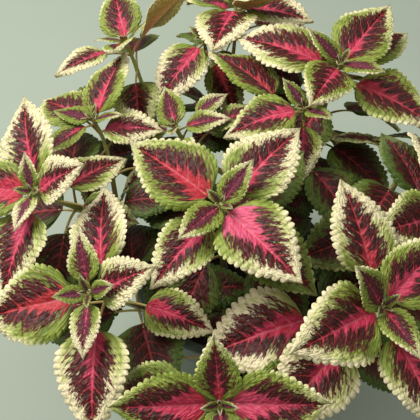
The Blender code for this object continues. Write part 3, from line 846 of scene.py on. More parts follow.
# How wide the flame is, how creamy the edge and how light the pink, each from 0 to 1.
PAINT = {
    "middle 0a": (0.10, 0.40, 0.4),
    "middle 0b": (0.10, 0.35, 0.4),
    "middle 1a": (0.60, 0.35, 0.1),
    "middle 1b": (0.90, 0.65, 1.0),
    "middle 2a": (0.55, 0.70, 0.6),
    "middle 2b": (0.35, 0.85, 0.5),
    "middle 3a": (0.30, 0.10, 0.2),
    "middle 3b": (0.30, 0.30, 0.2),
    "front 0a": (0.35, 0.30, 0.2),
    "front 1a": (0.85, 0.15, 0.4),
    "front 1b": (0.85, 0.35, 0.7),
    "front_left 0a": (0.00, 0.30, 0.3),
    "front_left 0b": (0.00, 0.40, 0.3),
    "front_left 1a": (0.30, 0.80, 0.5),
    "front_left 1b": (0.15, 0.55, 0.3),
    "front_left 2a": (0.45, 1.00, 0.7),
    "front_left 2b": (0.55, 0.55, 0.0),
    "front_left 3a": (0.30, 0.90, 0.5),
    "front_left 3b": (0.45, 0.90, 0.6),
    "front_left 4b": (0.70, 0.60, 0.4),
    "front_right 0a": (0.10, 0.20, 0.2),
    "front_right 0b": (0.40, 0.40, 0.2),
    "front_right 1a": (0.45, 0.60, 0.4),
    "front_right 1b": (0.55, 0.55, 0.6),
    "front_right 2a": (0.50, 0.75, 0.3),
    "front_right 2b": (0.30, 0.95, 0.1),
    "front_right 3b": (0.45, 0.95, 0.4),
    "front_right 4a": (0.45, 1.00, 0.4),
    "left 0a": (0.05, 0.55, 0.3),
    "left 0b": (0.10, 0.90, 0.3),
    "left 1a": (0.85, 0.45, 0.3),
    "left 1b": (0.45, 1.00, 0.6),
    "left 2a": (0.60, 0.80, 0.7),
    "left 2b": (0.28, 1.00, 0.5),
    "left 3b": (0.30, 0.75, 0.3),
    "left_back 0a": (0.05, 0.15, 0.3),
    "left_back 0b": (0.05, 0.40, 0.3),
    "left_back 1a": (0.40, 0.30, 0.2),
    "left_back 1b": (0.40, 0.45, 0.5),
    "left_back 2a": (0.60, 0.90, 0.8),
    "left_back 2b": (0.40, 0.40, 0.4),
    "far_left 1b": (0.40, 0.40, 0.6),
    "far_left 2b": (0.40, 1.00, 0.6),
    "far_middle 1a": (0.45, 0.90, 0.6),
    "far 1a": (0.30, 0.80, 0.5),
    "far_right 0a": (0.05, 0.25, 0.2),
    "far_right 0b": (0.05, 0.25, 0.4),
    "far_right 1a": (0.30, 0.40, 0.4),
    "far_right 1b": (0.28, 0.45, 0.4),
    "far_right 2a": (0.45, 0.50, 0.2),
    "far_right 2b": (0.45, 0.75, 0.3),
    "core 0a": (0.05, 0.20, 0.2),
    "core 0b": (0.05, 0.20, 0.2),
    "core 1a": (0.50, 0.50, 0.6),
    "core 2a": (0.25, 0.75, 0.5),
    "core 2b": (0.10, 0.25, 0.0),
    "hollow 0a": (0.35, 0.30, 0.5),
    "hollow 1a": (0.15, 0.05, 0.0),
    "hollow 1b": (0.50, 0.60, 0.4),
    "hollow 2b": (0.10, 0.70, 0.3),
}

# %% How each leaf is shaded and painted
YOUNG_FLAME = 0.15
YOUNG_CREAM = 0.3
CREAM_STRENGTH = 0.9


def pair_of(key):
    """The pair that a leaf belongs to, read from its name: 0 is the youngest."""
    return int(key.split()[-1][0])


def shade_of(key):
    """How deep in the shade a leaf lies, from 0 to 1: the painted shade that darkens its colours."""
    return OWN_SHADE.get(key, SHADE_BY_PAIR[pair_of(key)])


def paint_notes(key):
    """How wide a leaf's flame is, how creamy its edge and how light its pink."""
    draw = random.Random(f"paint {key}")
    flame = draw.uniform(0.15, 0.7)
    cream = draw.uniform(0.35, 1.0)
    glow = draw.uniform(0.0, 0.8)
    if pair_of(key) == 0:
        flame, cream = YOUNG_FLAME, YOUNG_CREAM
    if pair_of(key) >= 4:
        flame, cream = flame * 0.5, cream * 0.4
    flame, cream, glow = PAINT.get(key, (flame, cream, glow))
    return flame, cream * CREAM_STRENGTH, glow


print(len(PAINT), "leaves are painted by eye and", len(OWN_SHADE), "have a shade of their own")

# %% [markdown]
# A leafy stem's blades in one mesh. Each blade could be an object of its own, but a stem's blades move as
# one, so they are gathered into one mesh. Each point carries small notes for the paint: where it is on its
# leaf, how grown, how shaded and which leaf it is, how that leaf is painted, and which scallop is near. The
# map lays the blades out side by side, so that a baked picture gives each its own patch.

# %% Patches of the map
UPPER_PATCHES = 0.72


def patch_of(number, count, low, high):
    """The corner and size of one leaf's patch in the band of the map from low to high."""
    columns = max(1, math.ceil(math.sqrt(count / (high - low))))
    rows = math.ceil(count / columns)
    width, height = 1.0 / columns, (high - low) / rows
    return (number % columns) * width, low + (number // columns) * height, width, height


def on_patch(place, faces, patch):
    """Where each corner of these faces lies on the map, on the leaf's own patch."""
    left, bottom, width, height = patch
    flat = np.column_stack([place[:, 1] * 0.46 + 0.5, place[:, 0] * 0.94 + 0.03])
    return flat[faces.ravel() % len(place)] * (width, height) + (left, bottom)


print("the first of 20 patches:", [round(side, 3) for side in patch_of(0, 20, 1.0 - UPPER_PATCHES, 1.0)])


# %% Gather a stem's blades
def add_floats(mesh, name, kind, values):
    """Give each point of a mesh its own number or three numbers."""
    layer = mesh.attributes.new(name, kind, "POINT")
    field_name = "vector" if kind == "FLOAT_VECTOR" else "value"
    layer.data.foreach_set(field_name, values.astype(np.float32).ravel())


def soften(mesh, sharpest):
    """Shade a mesh smooth, but keep edges that turn by more than this many degrees."""
    mesh.polygons.foreach_set("use_smooth", np.ones(len(mesh.polygons), bool))
    mesh.set_sharp_from_angle(angle=math.radians(sharpest))


def blades_mesh(name, leaves):
    """One mesh of all blades given as (key, leaf, at, grown, shade)."""
    points, faces, patches, skins = [], [], [], []
    places, kinds, paints, teeth = [], [], [], []
    upper_band = (1.0 - UPPER_PATCHES, 1.0)
    lower_band = (0.0, 1.0 - UPPER_PATCHES)
    start = 0
    for number, (key, leaf, at, grown, shade) in enumerate(leaves):
        seed = random.Random(key).random()
        upper, lower, place, tooth, (rows, columns) = blade_skin(at, leaf, seed, shade < FINE_UNDER_SHADE)
        size = len(upper)
        top, under, rim = skin_faces(rows, columns)
        points += [upper, lower]
        faces += [top + start, under + start, rim + start]
        skins += [np.zeros(len(top), int), np.ones(len(under), int), np.zeros(len(rim), int)]
        for band, shape in ((upper_band, top), (lower_band, under), (upper_band, rim)):
            patches.append(on_patch(place, shape, patch_of(number, len(leaves), *band)))
        places += [place, place]
        kinds.append(np.tile((grown, shade, seed), (2 * size, 1)))
        paints.append(np.tile(paint_notes(key), (2 * size, 1)))
        teeth += [tooth, tooth]
        start += 2 * size
    mesh = bpy.data.meshes.new(name)
    mesh.from_pydata((np.concatenate(points) * MM).tolist(), [], np.concatenate(faces).tolist())
    bake_map = mesh.uv_layers.new(name="OFBake")
    bake_map.data.foreach_set("uv", np.concatenate(patches).astype(np.float32).ravel())
    mesh.polygons.foreach_set("material_index", np.concatenate(skins))
    add_floats(mesh, "leaf_place", "FLOAT_VECTOR", np.concatenate(places))
    add_floats(mesh, "leaf_kind", "FLOAT_VECTOR", np.concatenate(kinds))
    add_floats(mesh, "leaf_paint", "FLOAT_VECTOR", np.concatenate(paints))
    add_floats(mesh, "leaf_tooth", "FLOAT", np.concatenate(teeth))
    soften(mesh, 70)
    return mesh


# %% [markdown]
# The buds. At every growing tip a real coleus holds two more pairs of tiny leaves, folded up round the bud.
# They are too small for the solid frame. They could be little cones, but they show in the heart of each
# rosette, so they are made with the same blade, only short, steep and deeply folded. One that would cut into
# a grown blade is made smaller until it is free.

# %% Bud leaves
BUD_PAIRS = (
    {"blade": 13.0, "below": 1.2, "rise": 50.0, "fold": 24.0},
    {"blade": 7.0, "below": 0.4, "rise": 66.0, "fold": 30.0},
)
BUD_SIZES = (1.0, 0.8, 0.6, 0.45)


def blade_space(at, leaf, grown=0.0):
    """The space of a blade alone, without its stalk."""
    body = leaf_body(at, leaf, grown=grown, start=BLADE_FROM)
    space = Taken(body)
    body.free()
    return space


PLACED_BLADES = [blade_space(at, leaf) for leaves in LEAVES.values() for _, leaf, at in leaves]
print(len(PLACED_BLADES), "grown blades are in the buds' way")


def free_bud(root, way, leaf):
    """The largest size of a bud leaf that cuts into no grown blade, with its middle line, or None."""
    for size in BUD_SIZES:
        smaller = dict(leaf, blade=leaf["blade"] * size)
        at = leaf_line(root, way, smaller)
        space = blade_space(at, smaller, CLEARANCE / 2)
        if not any(space.meets(blade) for blade in PLACED_BLADES):
            return smaller, at
    return None


def bud_leaves(shoot, tip, way):
    """Two pairs of small folded leaves that stand up round a growing tip."""
    leaves = []
    for pair, shape in enumerate(BUD_PAIRS):
        for side in (0, 1):
            turn = shoot.turn + 90.0 * (pair + 1) + 180.0 * side
            plan = dict(shape, turn=turn, lift=2.0, arch=26.0, petiole=1.5, roll=0.0, teeth=2)
            found = free_bud(tip - way * shape["below"], way, plan)
            if found is None:
                continue
            leaf, at = found
            leaves.append((f"{shoot.name} bud {pair}{side}", leaf, at, 0.0, 0.0))
    return leaves


# %% All leaves of a stem
JUST_OPENED = 18.0
FULL_GROWN = 58.0


def grown_share(leaf):
    """0 for a leaf that has just opened, 1 for a full-grown one."""
    return min(max((leaf["blade"] - JUST_OPENED) / (FULL_GROWN - JUST_OPENED), 0.0), 1.0)


def leaves_of(stem):
    """All leaves of a stem with their age and shade: those of the plan, then the buds."""
    leaves = [(key, leaf, at, grown_share(leaf), shade_of(key)) for key, leaf, at in LEAVES[stem.name]]
    for shoot in stem.shoots:
        before, tip = PATHS[stem.name][1][shoot.name][-2:]
        leaves += bud_leaves(shoot, tip, (tip - before).normalized())
    return leaves


STEM_LEAVES = {stem.name: leaves_of(stem) for stem in STEMS}
print(sum(len(leaves) for leaves in STEM_LEAVES.values()), "leaves with their buds")

# %% [markdown]
# Stalks. A coleus stem is square with rounded corners and swells a little where a pair of leaves joins it,
# and each leaf stalk is round. They could be curves with a bevel, but a bevel is round and even. So rings of
# points are run along each path, with a squarish cross-section and a radius of their own.

# %% Rings along a path
RINGS_A_STEP = 6
STEM_SQUARE = 0.10
NODE_SWELL = 0.22


def rings_along(points, radii, sides, square):
    """A closed tube: its points and its faces, with end caps. square pulls its four flat sides in."""
    way = (points[1] - points[0]).normalized()
    side = way.orthogonal().normalized()
    verts, faces = [], []
    for i, (point, radius) in enumerate(zip(points, radii)):
        low, high = points[max(i - 1, 0)], points[min(i + 1, len(points) - 1)]
        way = (high - low).normalized()
        side = (side - way * side.dot(way)).normalized()
        other = way.cross(side)
        for k in range(sides):
            angle = math.tau * k / sides
            reach = radius * (1.0 - square + square * math.cos(4.0 * angle))
            verts.append(point + side * (math.cos(angle) * reach) + other * (math.sin(angle) * reach))
    for i in range(len(points) - 1):
        for k in range(sides):
            a, b = i * sides + k, i * sides + (k + 1) % sides
            faces.append((a, b, b + sides, a + sides))
    faces.append(tuple(reversed(range(sides))))
    faces.append(tuple(range(len(verts) - sides, len(verts))))
    return verts, faces


def finer(points, steps):
    """A smooth run of points through these, for a path that was laid out in a few long steps."""
    fine = []
    last = len(points) - 1
    for i in range(last):
        a, b, c, d = (points[min(max(k, 0), last)] for k in (i - 1, i, i + 1, i + 2))
        for step in range(steps):
            t = step / steps
            square_part = (2 * a - 5 * b + 4 * c - d) * t**2
            cube_part = (3 * b - a - 3 * c + d) * t**3
            fine.append(0.5 * (2 * b + (c - a) * t + square_part + cube_part))
    return [*fine, points[-1]]


sample_path = PATHS["middle"][0]
print(len(sample_path), "points of a stem become", len(finer(sample_path, RINGS_A_STEP)), "rings")

# %% One mesh for a stem and its leaf stalks
NODE_LENGTH = 2.6
STEM_SIDES = 12
STALK_SIDES = 10
STALK_RINGS = 9
STALK_INTO_BLADE = 1.06


def swollen(points, radii, joints):
    """The radii, made a little larger round each leaf joint."""
    out = []
    for point, radius in zip(points, radii):
        near = min(((point - joint).length for joint in joints), default=99.0)
        out.append(radius * (1.0 + NODE_SWELL * math.exp(-((near / NODE_LENGTH) ** 2))))
    return out


def stalks_mesh(name, stem, leaves):
    """The stem, its branches and every leaf's stalk, with how far along each point is from foot to tip."""
    trunk, branches = PATHS[stem.name]
    joints = [at(0.0)[0] for _, _, at, _, _ in leaves]
    runs = [(trunk, STEM_RADIUS, FORK_RADIUS, 0.0, 0.45)]
    runs += [(points, FORK_RADIUS, TIP_RADIUS - 0.3, 0.45, 1.0) for points in branches.values()]
    points, faces, youth = [], [], []

    def add(verts, quads, share):
        base = len(points)
        points.extend(verts)
        faces.extend(tuple(base + k for k in quad) for quad in quads)
        youth.extend(share)

    for line, first, last, old, young in runs:
        line = finer(line, RINGS_A_STEP)
        count = len(line)
        radii = [first + (last - first) * i / (count - 1) for i in range(count)]
        verts, quads = rings_along(line, swollen(line, radii, joints), STEM_SIDES, STEM_SQUARE)
        add(verts, quads, [old + (young - old) * (k // STEM_SIDES) / count for k in range(len(verts))])
    for _, _, at, grown, _ in leaves:
        half = (PETIOLE_HALF - 0.05) * (0.62 + 0.38 * grown)
        line = []
        for i in range(STALK_RINGS):
            point, _, normal = at(STALK_INTO_BLADE * i / (STALK_RINGS - 1))
            line.append(point - normal * half)
        radii = [half * 1.25, half * 1.05] + [half * (1.0 - 0.04 * i) for i in range(STALK_RINGS - 2)]
        verts, quads = rings_along(line, radii, STALK_SIDES, 0.0)
        add(verts, quads, [1.0 + (k // STALK_SIDES) / STALK_RINGS for k in range(len(verts))])
    mesh = bpy.data.meshes.new(name)
    mesh.from_pydata([point * MM for point in points], [], faces)
    add_floats(mesh, "stalk_youth", "FLOAT", np.array(youth))
    soften(mesh, 60)
    return mesh


# %% [markdown]
# Paint. Materials are small networks of nodes, and wiring them by hand takes many lines. The bench below adds
# a node, wires what it is given and hands back the output, so a network reads like a sum. Colours are given
# as the eye sees them, from 0 to 255, and turned into the linear values that the shader wants.


# %% Colours as the eye sees them
def paint(red, green, blue):
    """A colour as seen on screen, as the linear RGBA that a shader takes."""
    linear = [((c / 255 + 0.055) / 1.055) ** 2.4 if c > 10 else c / 3295 for c in (red, green, blue)]
    return (*linear, 1.0)


print(f"paint(124, 142, 48) is {[round(part, 3) for part in paint(124, 142, 48)[:3]]} to a shader")


# %% A bench for wiring nodes
class Bench:
    """Adds nodes to one tree. Each call returns the new node's first output."""

    def __init__(self, tree):
        self.tree = tree

    def node(self, kind, inputs=(), **settings):
        """A new node with these inputs wired and these settings made."""
        node = self.tree.nodes.new(kind)
        node.location = (220 * (len(self.tree.nodes) % 9), -190 * (len(self.tree.nodes) // 9))
        for key, value in settings.items():
            setattr(node, key, value)
        for socket, value in dict(inputs).items():
            self.wire(value, node.inputs[socket])
        return node

    def wire(self, value, socket):
        """Link an output to a socket, or set the socket to a plain value."""
        if isinstance(value, bpy.types.NodeSocket):
            self.tree.links.new(value, socket)
        else:
            socket.default_value = value

    def calc(self, operation, a, b=0.0, clamp=False):
        return self.node("ShaderNodeMath", {0: a, 1: b}, operation=operation, use_clamp=clamp).outputs[0]

    def add(self, a, b):
        return self.calc("ADD", a, b)

    def sub(self, a, b):
        return self.calc("SUBTRACT", a, b)

    def mul(self, a, b):
        return self.calc("MULTIPLY", a, b)

    def bend(self, low, high, value):
        """0 below low, 1 above high and an even bend between."""
        inputs = {"Value": value, "From Min": low, "From Max": high}
        return self.node("ShaderNodeMapRange", inputs, interpolation_type="SMOOTHSTEP").outputs[0]

    def mix(self, factor, a, b):
        """Colour a, going over to colour b as factor goes from 0 to 1."""
        node = self.node("ShaderNodeMix", data_type="RGBA", clamp_factor=True)
        for socket, value in ((0, factor), (6, a), (7, b)):
            self.wire(value, node.inputs[socket])
        return node.outputs[2]

    def curve(self, value, points):
        """A value read off a curve through these (value, height) points."""
        node = self.node("ShaderNodeFloatCurve", {"Value": value})
        knots = node.mapping.curves[0].points
        for knot, (x, y) in zip(knots, (points[0], points[-1])):
            knot.location = (x, y)
        for x, y in points[1:-1]:
            knots.new(x, y)
        node.mapping.update()
        return node.outputs[0]

    def vector(self, x, y, z):
        return self.node("ShaderNodeCombineXYZ", {"X": x, "Y": y, "Z": z}).outputs[0]

    def parts(self, vector):
        node = self.node("ShaderNodeSeparateXYZ", {0: vector})
        return node.outputs[0], node.outputs[1], node.outputs[2]

    def noise(self, vector, scale, detail=2.0, roughness=0.55):
        inputs = {"Vector": vector, "Scale": scale, "Detail": detail, "Roughness": roughness}
        return self.node("ShaderNodeTexNoise", inputs).outputs[0]

    def attribute(self, name, output="Vector"):
        return self.node("ShaderNodeAttribute", attribute_name=name).outputs[output]


print("the bench can", ", ".join(name for name in vars(Bench) if not name.startswith("_")))


# %% New groups and new materials
def new_group(name, inputs, outputs):
    """An empty node group with these named inputs and outputs, and its bench, inputs and output node."""
    group = bpy.data.node_groups.new(name, "ShaderNodeTree")
    for label, kind in inputs:
        group.interface.new_socket(name=label, in_out="INPUT", socket_type=f"NodeSocket{kind}")
    for label in outputs:
        group.interface.new_socket(name=label, in_out="OUTPUT", socket_type="NodeSocketFloat")
    bench = Bench(group)
    given = group.nodes.new("NodeGroupInput")
    handed_out = group.nodes.new("NodeGroupOutput")
    return group, bench, given.outputs, handed_out.inputs


def new_material(name, roughness, **values):
    """A material with its Principled shader ready, and a bench for its nodes."""
    material = bpy.data.materials.new(name)
    material.use_nodes = True
    shader = material.node_tree.nodes["Principled BSDF"]
    shader.inputs["Roughness"].default_value = roughness
    for label, value in values.items():
        shader.inputs[label.replace("_", " ")].default_value = value
    return material, Bench(material.node_tree), shader.inputs


def object_place(bench):
    """A point's place on its object, in metres."""
    return bench.node("ShaderNodeTexCoord").outputs["Object"]


def add_bump(bench, shader, height, strength, distance):
    """Roughen a material with a bump of this height."""
    bump = bench.node("ShaderNodeBump", {"Strength": strength, "Distance": distance, "Height": height})
    bench.wire(bump.outputs[0], shader["Normal"])


# %% [markdown]
# Mottling. No surface here is one even colour: stalks flush red in patches, glaze pools, soil dries unevenly.
# Each material could have its own clouds, but all of them use the same cloudy mask, so it is a node group,
# built once and placed in each material with its own scale and strength.


# %% A mottle group that several materials share
def build_mottle():
    """A cloudy mask: 0 where the noise is under Low, 1 where it is over High."""
    inputs = [("Place", "Vector"), ("Scale", "Float"), ("Low", "Float"), ("High", "Float")]
    group, bench, given, out = new_group("mottle", inputs, ["Mask"])
    cloud = bench.noise(given["Place"], given["Scale"], 3.0, 0.6)
    bench.wire(bench.bend(given["Low"], given["High"], cloud), out["Mask"])
    return group


MOTTLE = build_mottle()
print("the mottle group has", len(MOTTLE.nodes), "nodes")


def mottle(bench, place, scale, low, high):
    """The cloudy mask, placed in a material."""
    node = bench.node("ShaderNodeGroup", node_tree=MOTTLE)
    for label, value in (("Place", place), ("Scale", scale), ("Low", low), ("High", high)):
        bench.wire(value, node.inputs[label])
    return node.outputs["Mask"]


# %% [markdown]
# The leaf marking. Each blade is painted the same way: a green edge that pales to cream towards the tip, a
# maroon field whose border is frayed along the veins, and in its middle a pink flame that licks out along the
# side veins. A picture could hold it, but then every leaf would be alike. Here it is worked out from each
# point's place on its leaf: how far it is towards the tip, how far from the midrib, and how near to a side
# vein. The upper and the lower skin both need the marking, so it is a group of masks.


# %% What the marking knows of a point
def peaks(bench, turns):
    """1 where the count is whole and 0 halfway between."""
    return bench.calc("ABSOLUTE", bench.sub(bench.mul(bench.calc("FRACT", turns), 2.0), 1.0))


def point_facts(bench, given):
    """Where a point is on its leaf, what its leaf is like, and how the streaks run there."""
    here = SimpleNamespace()
    here.s, here.q, here.turns = bench.parts(given["Place"])
    here.grown, here.shade, seed = bench.parts(given["Kind"])
    here.flame, here.cream, _ = bench.parts(given["Paint"])
    here.a = bench.calc("ABSOLUTE", here.q)
    here.vein = peaks(bench, here.turns)
    here.notch = peaks(bench, given["Tooth"])
    which = bench.add(bench.mul(seed, 41.0), bench.mul(bench.calc("SIGN", here.q), 3.7))
    long_way = bench.vector(here.turns, bench.mul(here.a, 0.9), which)
    here.streak = bench.sub(bench.noise(long_way, 2.7, 4.0, 0.72), 0.5)
    fine_way = bench.vector(here.turns, bench.mul(here.a, 1.6), bench.add(which, 9.0))
    here.fine = bench.sub(bench.noise(fine_way, 7.0, 3.0, 0.7), 0.5)
    blotch_way = bench.vector(here.s, bench.mul(here.q, 0.8), which)
    here.blotch = bench.sub(bench.noise(blotch_way, 3.0, 2.0), 0.5)
    return here


# %% [markdown]
# The flame. On the leaf it starts as a broad patch of pink at the stalk, narrows to a line at the tip and
# sends tongues out along the side veins. A triangle of colour would look cut out. A curve over the blade's
# length gives its reach, the side veins stretch it, and the streaks fray its edge.

# %% The flame
FLAME_REACH = ((0.0, 0.60), (0.1, 0.58), (0.3, 0.36), (0.55, 0.18), (0.8, 0.07), (0.93, 0.0))


def flame_mask(bench, here):
    """1 inside the pink flame along the midrib, with tongues along the side veins."""
    reach = bench.curve(here.s, FLAME_REACH)
    reach = bench.mul(reach, bench.add(bench.mul(here.flame, 0.9), 0.25))
    reach = bench.mul(reach, bench.bend(0.05, 0.75, here.grown))
    # Painted shade: a leaf in shade gets a narrower flame, so it looks greener and darker.
    reach = bench.mul(reach, bench.sub(1.0, bench.mul(here.shade, 0.55)))
    lick = bench.mul(bench.calc("POWER", here.vein, 3.0), bench.mul(bench.sub(0.95, here.s), 0.26))
    lick = bench.mul(lick, here.grown)
    frayed = bench.add(bench.mul(here.streak, 0.65), bench.mul(here.fine, 0.35))
    edge = bench.sub(bench.add(bench.add(reach, lick), frayed), bench.add(here.a, 0.07))
    return bench.bend(-0.04, 0.12, edge)


# %% [markdown]
# The maroon field and the pale edge. The field fills the middle of the blade, and long streaks tear its
# border. Its own shape could follow the outline at an even distance, but on the plant it ends well before
# the tip and leaves more edge on a creamy leaf, so it has a curve of its own. The edge pales towards the tip
# and the beads.

# %% The field and the pale edge
FIELD_REACH = ((0.0, 0.18), (0.06, 0.46), (0.25, 0.64), (0.55, 0.60), (0.78, 0.36), (0.92, -0.15))


def field_mask(bench, here):
    """1 inside the maroon field, whose border is torn by long streaks."""
    reach = bench.curve(here.s, FIELD_REACH)
    reach = bench.add(reach, bench.mul(bench.sub(here.grown, 1.0), 0.26))
    reach = bench.sub(reach, bench.mul(bench.sub(here.cream, 0.3), 0.14))
    # Painted shade: a leaf in shade gets a narrower maroon field.
    reach = bench.sub(reach, bench.mul(here.shade, 0.10))
    frayed = bench.add(bench.mul(here.streak, 1.5), bench.mul(here.fine, 0.9))
    frayed = bench.add(frayed, bench.mul(bench.calc("POWER", here.notch, 3.0), 0.10))
    edge = bench.sub(bench.add(bench.add(reach, frayed), bench.mul(here.blotch, 0.3)), here.a)
    return bench.bend(-0.16, 0.12, edge)


def cream_mask(bench, here):
    """1 where the green edge has gone over to cream."""
    pale = bench.add(bench.mul(here.s, 1.05), bench.mul(bench.bend(0.8, 1.0, here.a), 0.33))
    pale = bench.add(pale, bench.sub(here.cream, 0.5))
    pale = bench.add(pale, bench.add(bench.mul(here.blotch, 0.8), bench.mul(here.fine, 0.5)))
    return bench.bend(0.38, 0.90, pale)


# %% The marking group
def build_marking():
    """Masks for the flame, the maroon field, the cream edge, the veins, the notches and the streaks."""
    group, bench, given, out = new_group(
        "coleus_marking",
        [("Place", "Vector"), ("Kind", "Vector"), ("Paint", "Vector"), ("Tooth", "Float")],
        ["Flame", "Maroon", "Cream", "Vein", "Rib", "Notch", "Streak", "Fleck"],
    )
    here = point_facts(bench, given)
    bench.wire(flame_mask(bench, here), out["Flame"])
    bench.wire(field_mask(bench, here), out["Maroon"])
    bench.wire(cream_mask(bench, here), out["Cream"])
    thin = bench.bend(0.86, 0.98, here.vein)
    middle = bench.bend(0.04, 0.012, here.a)
    bench.wire(bench.mul(thin, bench.bend(1.0, 0.85, here.a)), out["Rib"])
    bench.wire(bench.calc("MAXIMUM", bench.mul(thin, bench.bend(0.8, 0.1, here.a)), middle), out["Vein"])
    pit = bench.mul(bench.bend(0.7, 0.95, here.notch), bench.bend(0.78, 0.9, here.a))
    bench.wire(bench.mul(pit, bench.bend(1.0, 0.95, here.a)), out["Notch"])
    bench.wire(bench.add(here.streak, bench.mul(here.fine, 0.6)), out["Streak"])
    bench.wire(bench.bend(0.02, 0.16, here.fine), out["Fleck"])
    return group


MARKING = build_marking()
print("the marking group has", len(MARKING.nodes), "nodes")

# %% [markdown]
# The skins. The upper skin is velvety and shows the marking in full colour. The lower skin is a golden green
# that shows it only faintly, and its colours are painted lighter still, as painted light for the light that
# shines through the thin blade. They could be two networks, but the marking is the same on both sides of a
# leaf, so one function lays the masks over each other and each skin brings its own colours.


# %% The edge, the field and the flame in colour
def edge_colour(bench, colours, masks, shade, crease_shade, cloud):
    """The green edge: mottled, painted darker for a leaf in shade and in the creases between the puffs, as
    painted shade, and paling to cream.
    """
    green = bench.mix(bench.mul(masks["Fleck"], 0.7), colours["green"], colours["deep_green"])
    green = bench.mix(bench.mul(cloud, 0.6), green, colours["lime"])
    # Painted shade: a leaf in shade goes over to a darker green and loses its cream.
    green = bench.mix(bench.mul(shade, 0.9), green, colours["shaded_green"])
    # Painted shade: the green goes deeper in the creases between the puffs, and the cream fades there.
    green = bench.mix(bench.mul(crease_shade, 0.4), green, colours["deep_green"])
    lit = bench.calc("SUBTRACT", 1.0, bench.mul(shade, 0.9), clamp=True)
    creamy = bench.mul(bench.mul(masks["Cream"], lit), bench.sub(1.0, bench.mul(crease_shade, 0.2)))
    colour = bench.mix(bench.mul(bench.bend(0.0, 0.5, creamy), 0.85), green, colours["pale_green"])
    colour = bench.mix(bench.bend(0.5, 1.1, creamy), colour, colours["cream"])
    colour = bench.mix(bench.mul(masks["Rib"], 0.4), colour, colours["green"])
    return bench.mix(bench.mul(masks["Notch"], 0.35), colour, colours["deep_green"])


def field_colour(bench, colours, masks, a, grown):
    """The maroon field: streaked, violet in a young leaf, with warm side veins in a grown one."""
    field = bench.mix(bench.bend(0.02, 0.20, masks["Streak"]), colours["maroon"], colours["plum"])
    field = bench.mix(bench.bend(0.02, -0.12, masks["Streak"]), field, colours["black_maroon"])
    young = bench.mul(bench.bend(0.5, 0.1, a), bench.bend(0.8, 0.2, grown))
    field = bench.mix(young, field, colours["violet"])
    warm = bench.mul(bench.bend(0.8, 0.1, a), bench.bend(0.2, 0.9, grown))
    return bench.mix(bench.mul(masks["Vein"], warm), field, colours["ember"])


def flame_colour(bench, colours, masks, s, a, shade, glow):
    """The flame: ember or pink, lightest near the stalk of a glowing leaf."""
    heart = bench.mix(bench.bend(-0.1, 0.45, glow), colours["ember"], colours["pink"])
    rim = bench.mul(bench.bend(0.45, 0.02, s), bench.bend(0.1, 0.5, a))
    heart = bench.mix(bench.mul(rim, 0.8), heart, colours["ember"])
    bright = bench.mul(bench.bend(0.45, 1.0, glow), bench.bend(0.75, 0.1, s))
    heart = bench.mix(bright, heart, colours["glow"])
    heart = bench.mix(bench.mul(bench.bend(0.05, -0.12, masks["Streak"]), 0.5), heart, colours["ember"])
    heart = bench.mix(bench.mul(masks["Vein"], 0.35), heart, colours["vein"])
    # Painted shade: the flame of a shaded leaf goes over to plum.
    return bench.mix(bench.mul(shade, 0.7), heart, colours["plum"])


# %% The upper and lower skin of a blade
def place_marking(bench, place, kind, notes):
    """The marking's masks, placed in a material and fed with what the mesh says of each point."""
    node = bench.node("ShaderNodeGroup", node_tree=MARKING)
    tooth = bench.attribute("leaf_tooth", "Fac")
    for label, value in (("Place", place), ("Kind", kind), ("Paint", notes), ("Tooth", tooth)):
        bench.wire(value, node.inputs[label])
    return node.outputs


def blade_material(name, colours, roughness, sheen):
    """A leaf skin: the marking's masks laid over each other in the given colours."""
    material, bench, shader = new_material(name, roughness, Sheen_Weight=sheen, Sheen_Roughness=0.4)
    shader["Specular IOR Level"].default_value = 0.3
    place, kind, notes = (bench.attribute(f"leaf_{what}") for what in ("place", "kind", "paint"))
    masks = place_marking(bench, place, kind, notes)
    s, q, turns = bench.parts(place)
    grown, shade, seed = bench.parts(kind)
    glow = bench.parts(notes)[2]
    a = bench.calc("ABSOLUTE", q)

    cells = bench.vector(turns, bench.mul(q, 3.4), bench.mul(seed, 20.0))
    puff_cells = bench.node("ShaderNodeTexVoronoi", {"Vector": cells, "Scale": 3.4}, feature="SMOOTH_F1")
    puffs = puff_cells.outputs[0]
    # crease_shade is 1 in the creases between the puffed cells, where painted shade is laid.
    crease_shade = bench.bend(0.34, 0.66, puffs)
    cloud = mottle(bench, bench.vector(s, q, bench.mul(seed, 9.0)), 5.0, 0.32, 0.68)

    colour = edge_colour(bench, colours, masks, shade, crease_shade, cloud)
    colour = bench.mix(masks["Maroon"], colour, field_colour(bench, colours, masks, a, grown))
    # Painted shade: a shaded leaf's flame is weaker.
    strength = bench.mul(masks["Flame"], bench.sub(1.0, bench.mul(shade, 0.4)))
    colour = bench.mix(strength, colour, flame_colour(bench, colours, masks, s, a, shade, glow))
    # Painted shade: the creases between the puffs are darkened towards near black.
    colour = bench.mix(bench.mul(crease_shade, 0.15), colour, colours["black_maroon"])
    # Painted shade: a shaded leaf is darkened towards the near-black depth colour.
    colour = bench.mix(bench.mul(shade, 0.3), colour, colours["depth"])
    bench.wire(colour, shader["Base Color"])

    hairs = bench.noise(object_place(bench), 1800.0, 2.0)
    height = bench.sub(bench.mul(hairs, 0.2), bench.mul(puffs, 1.2))
    add_bump(bench, shader, height, 0.8, 0.0012)
    return material


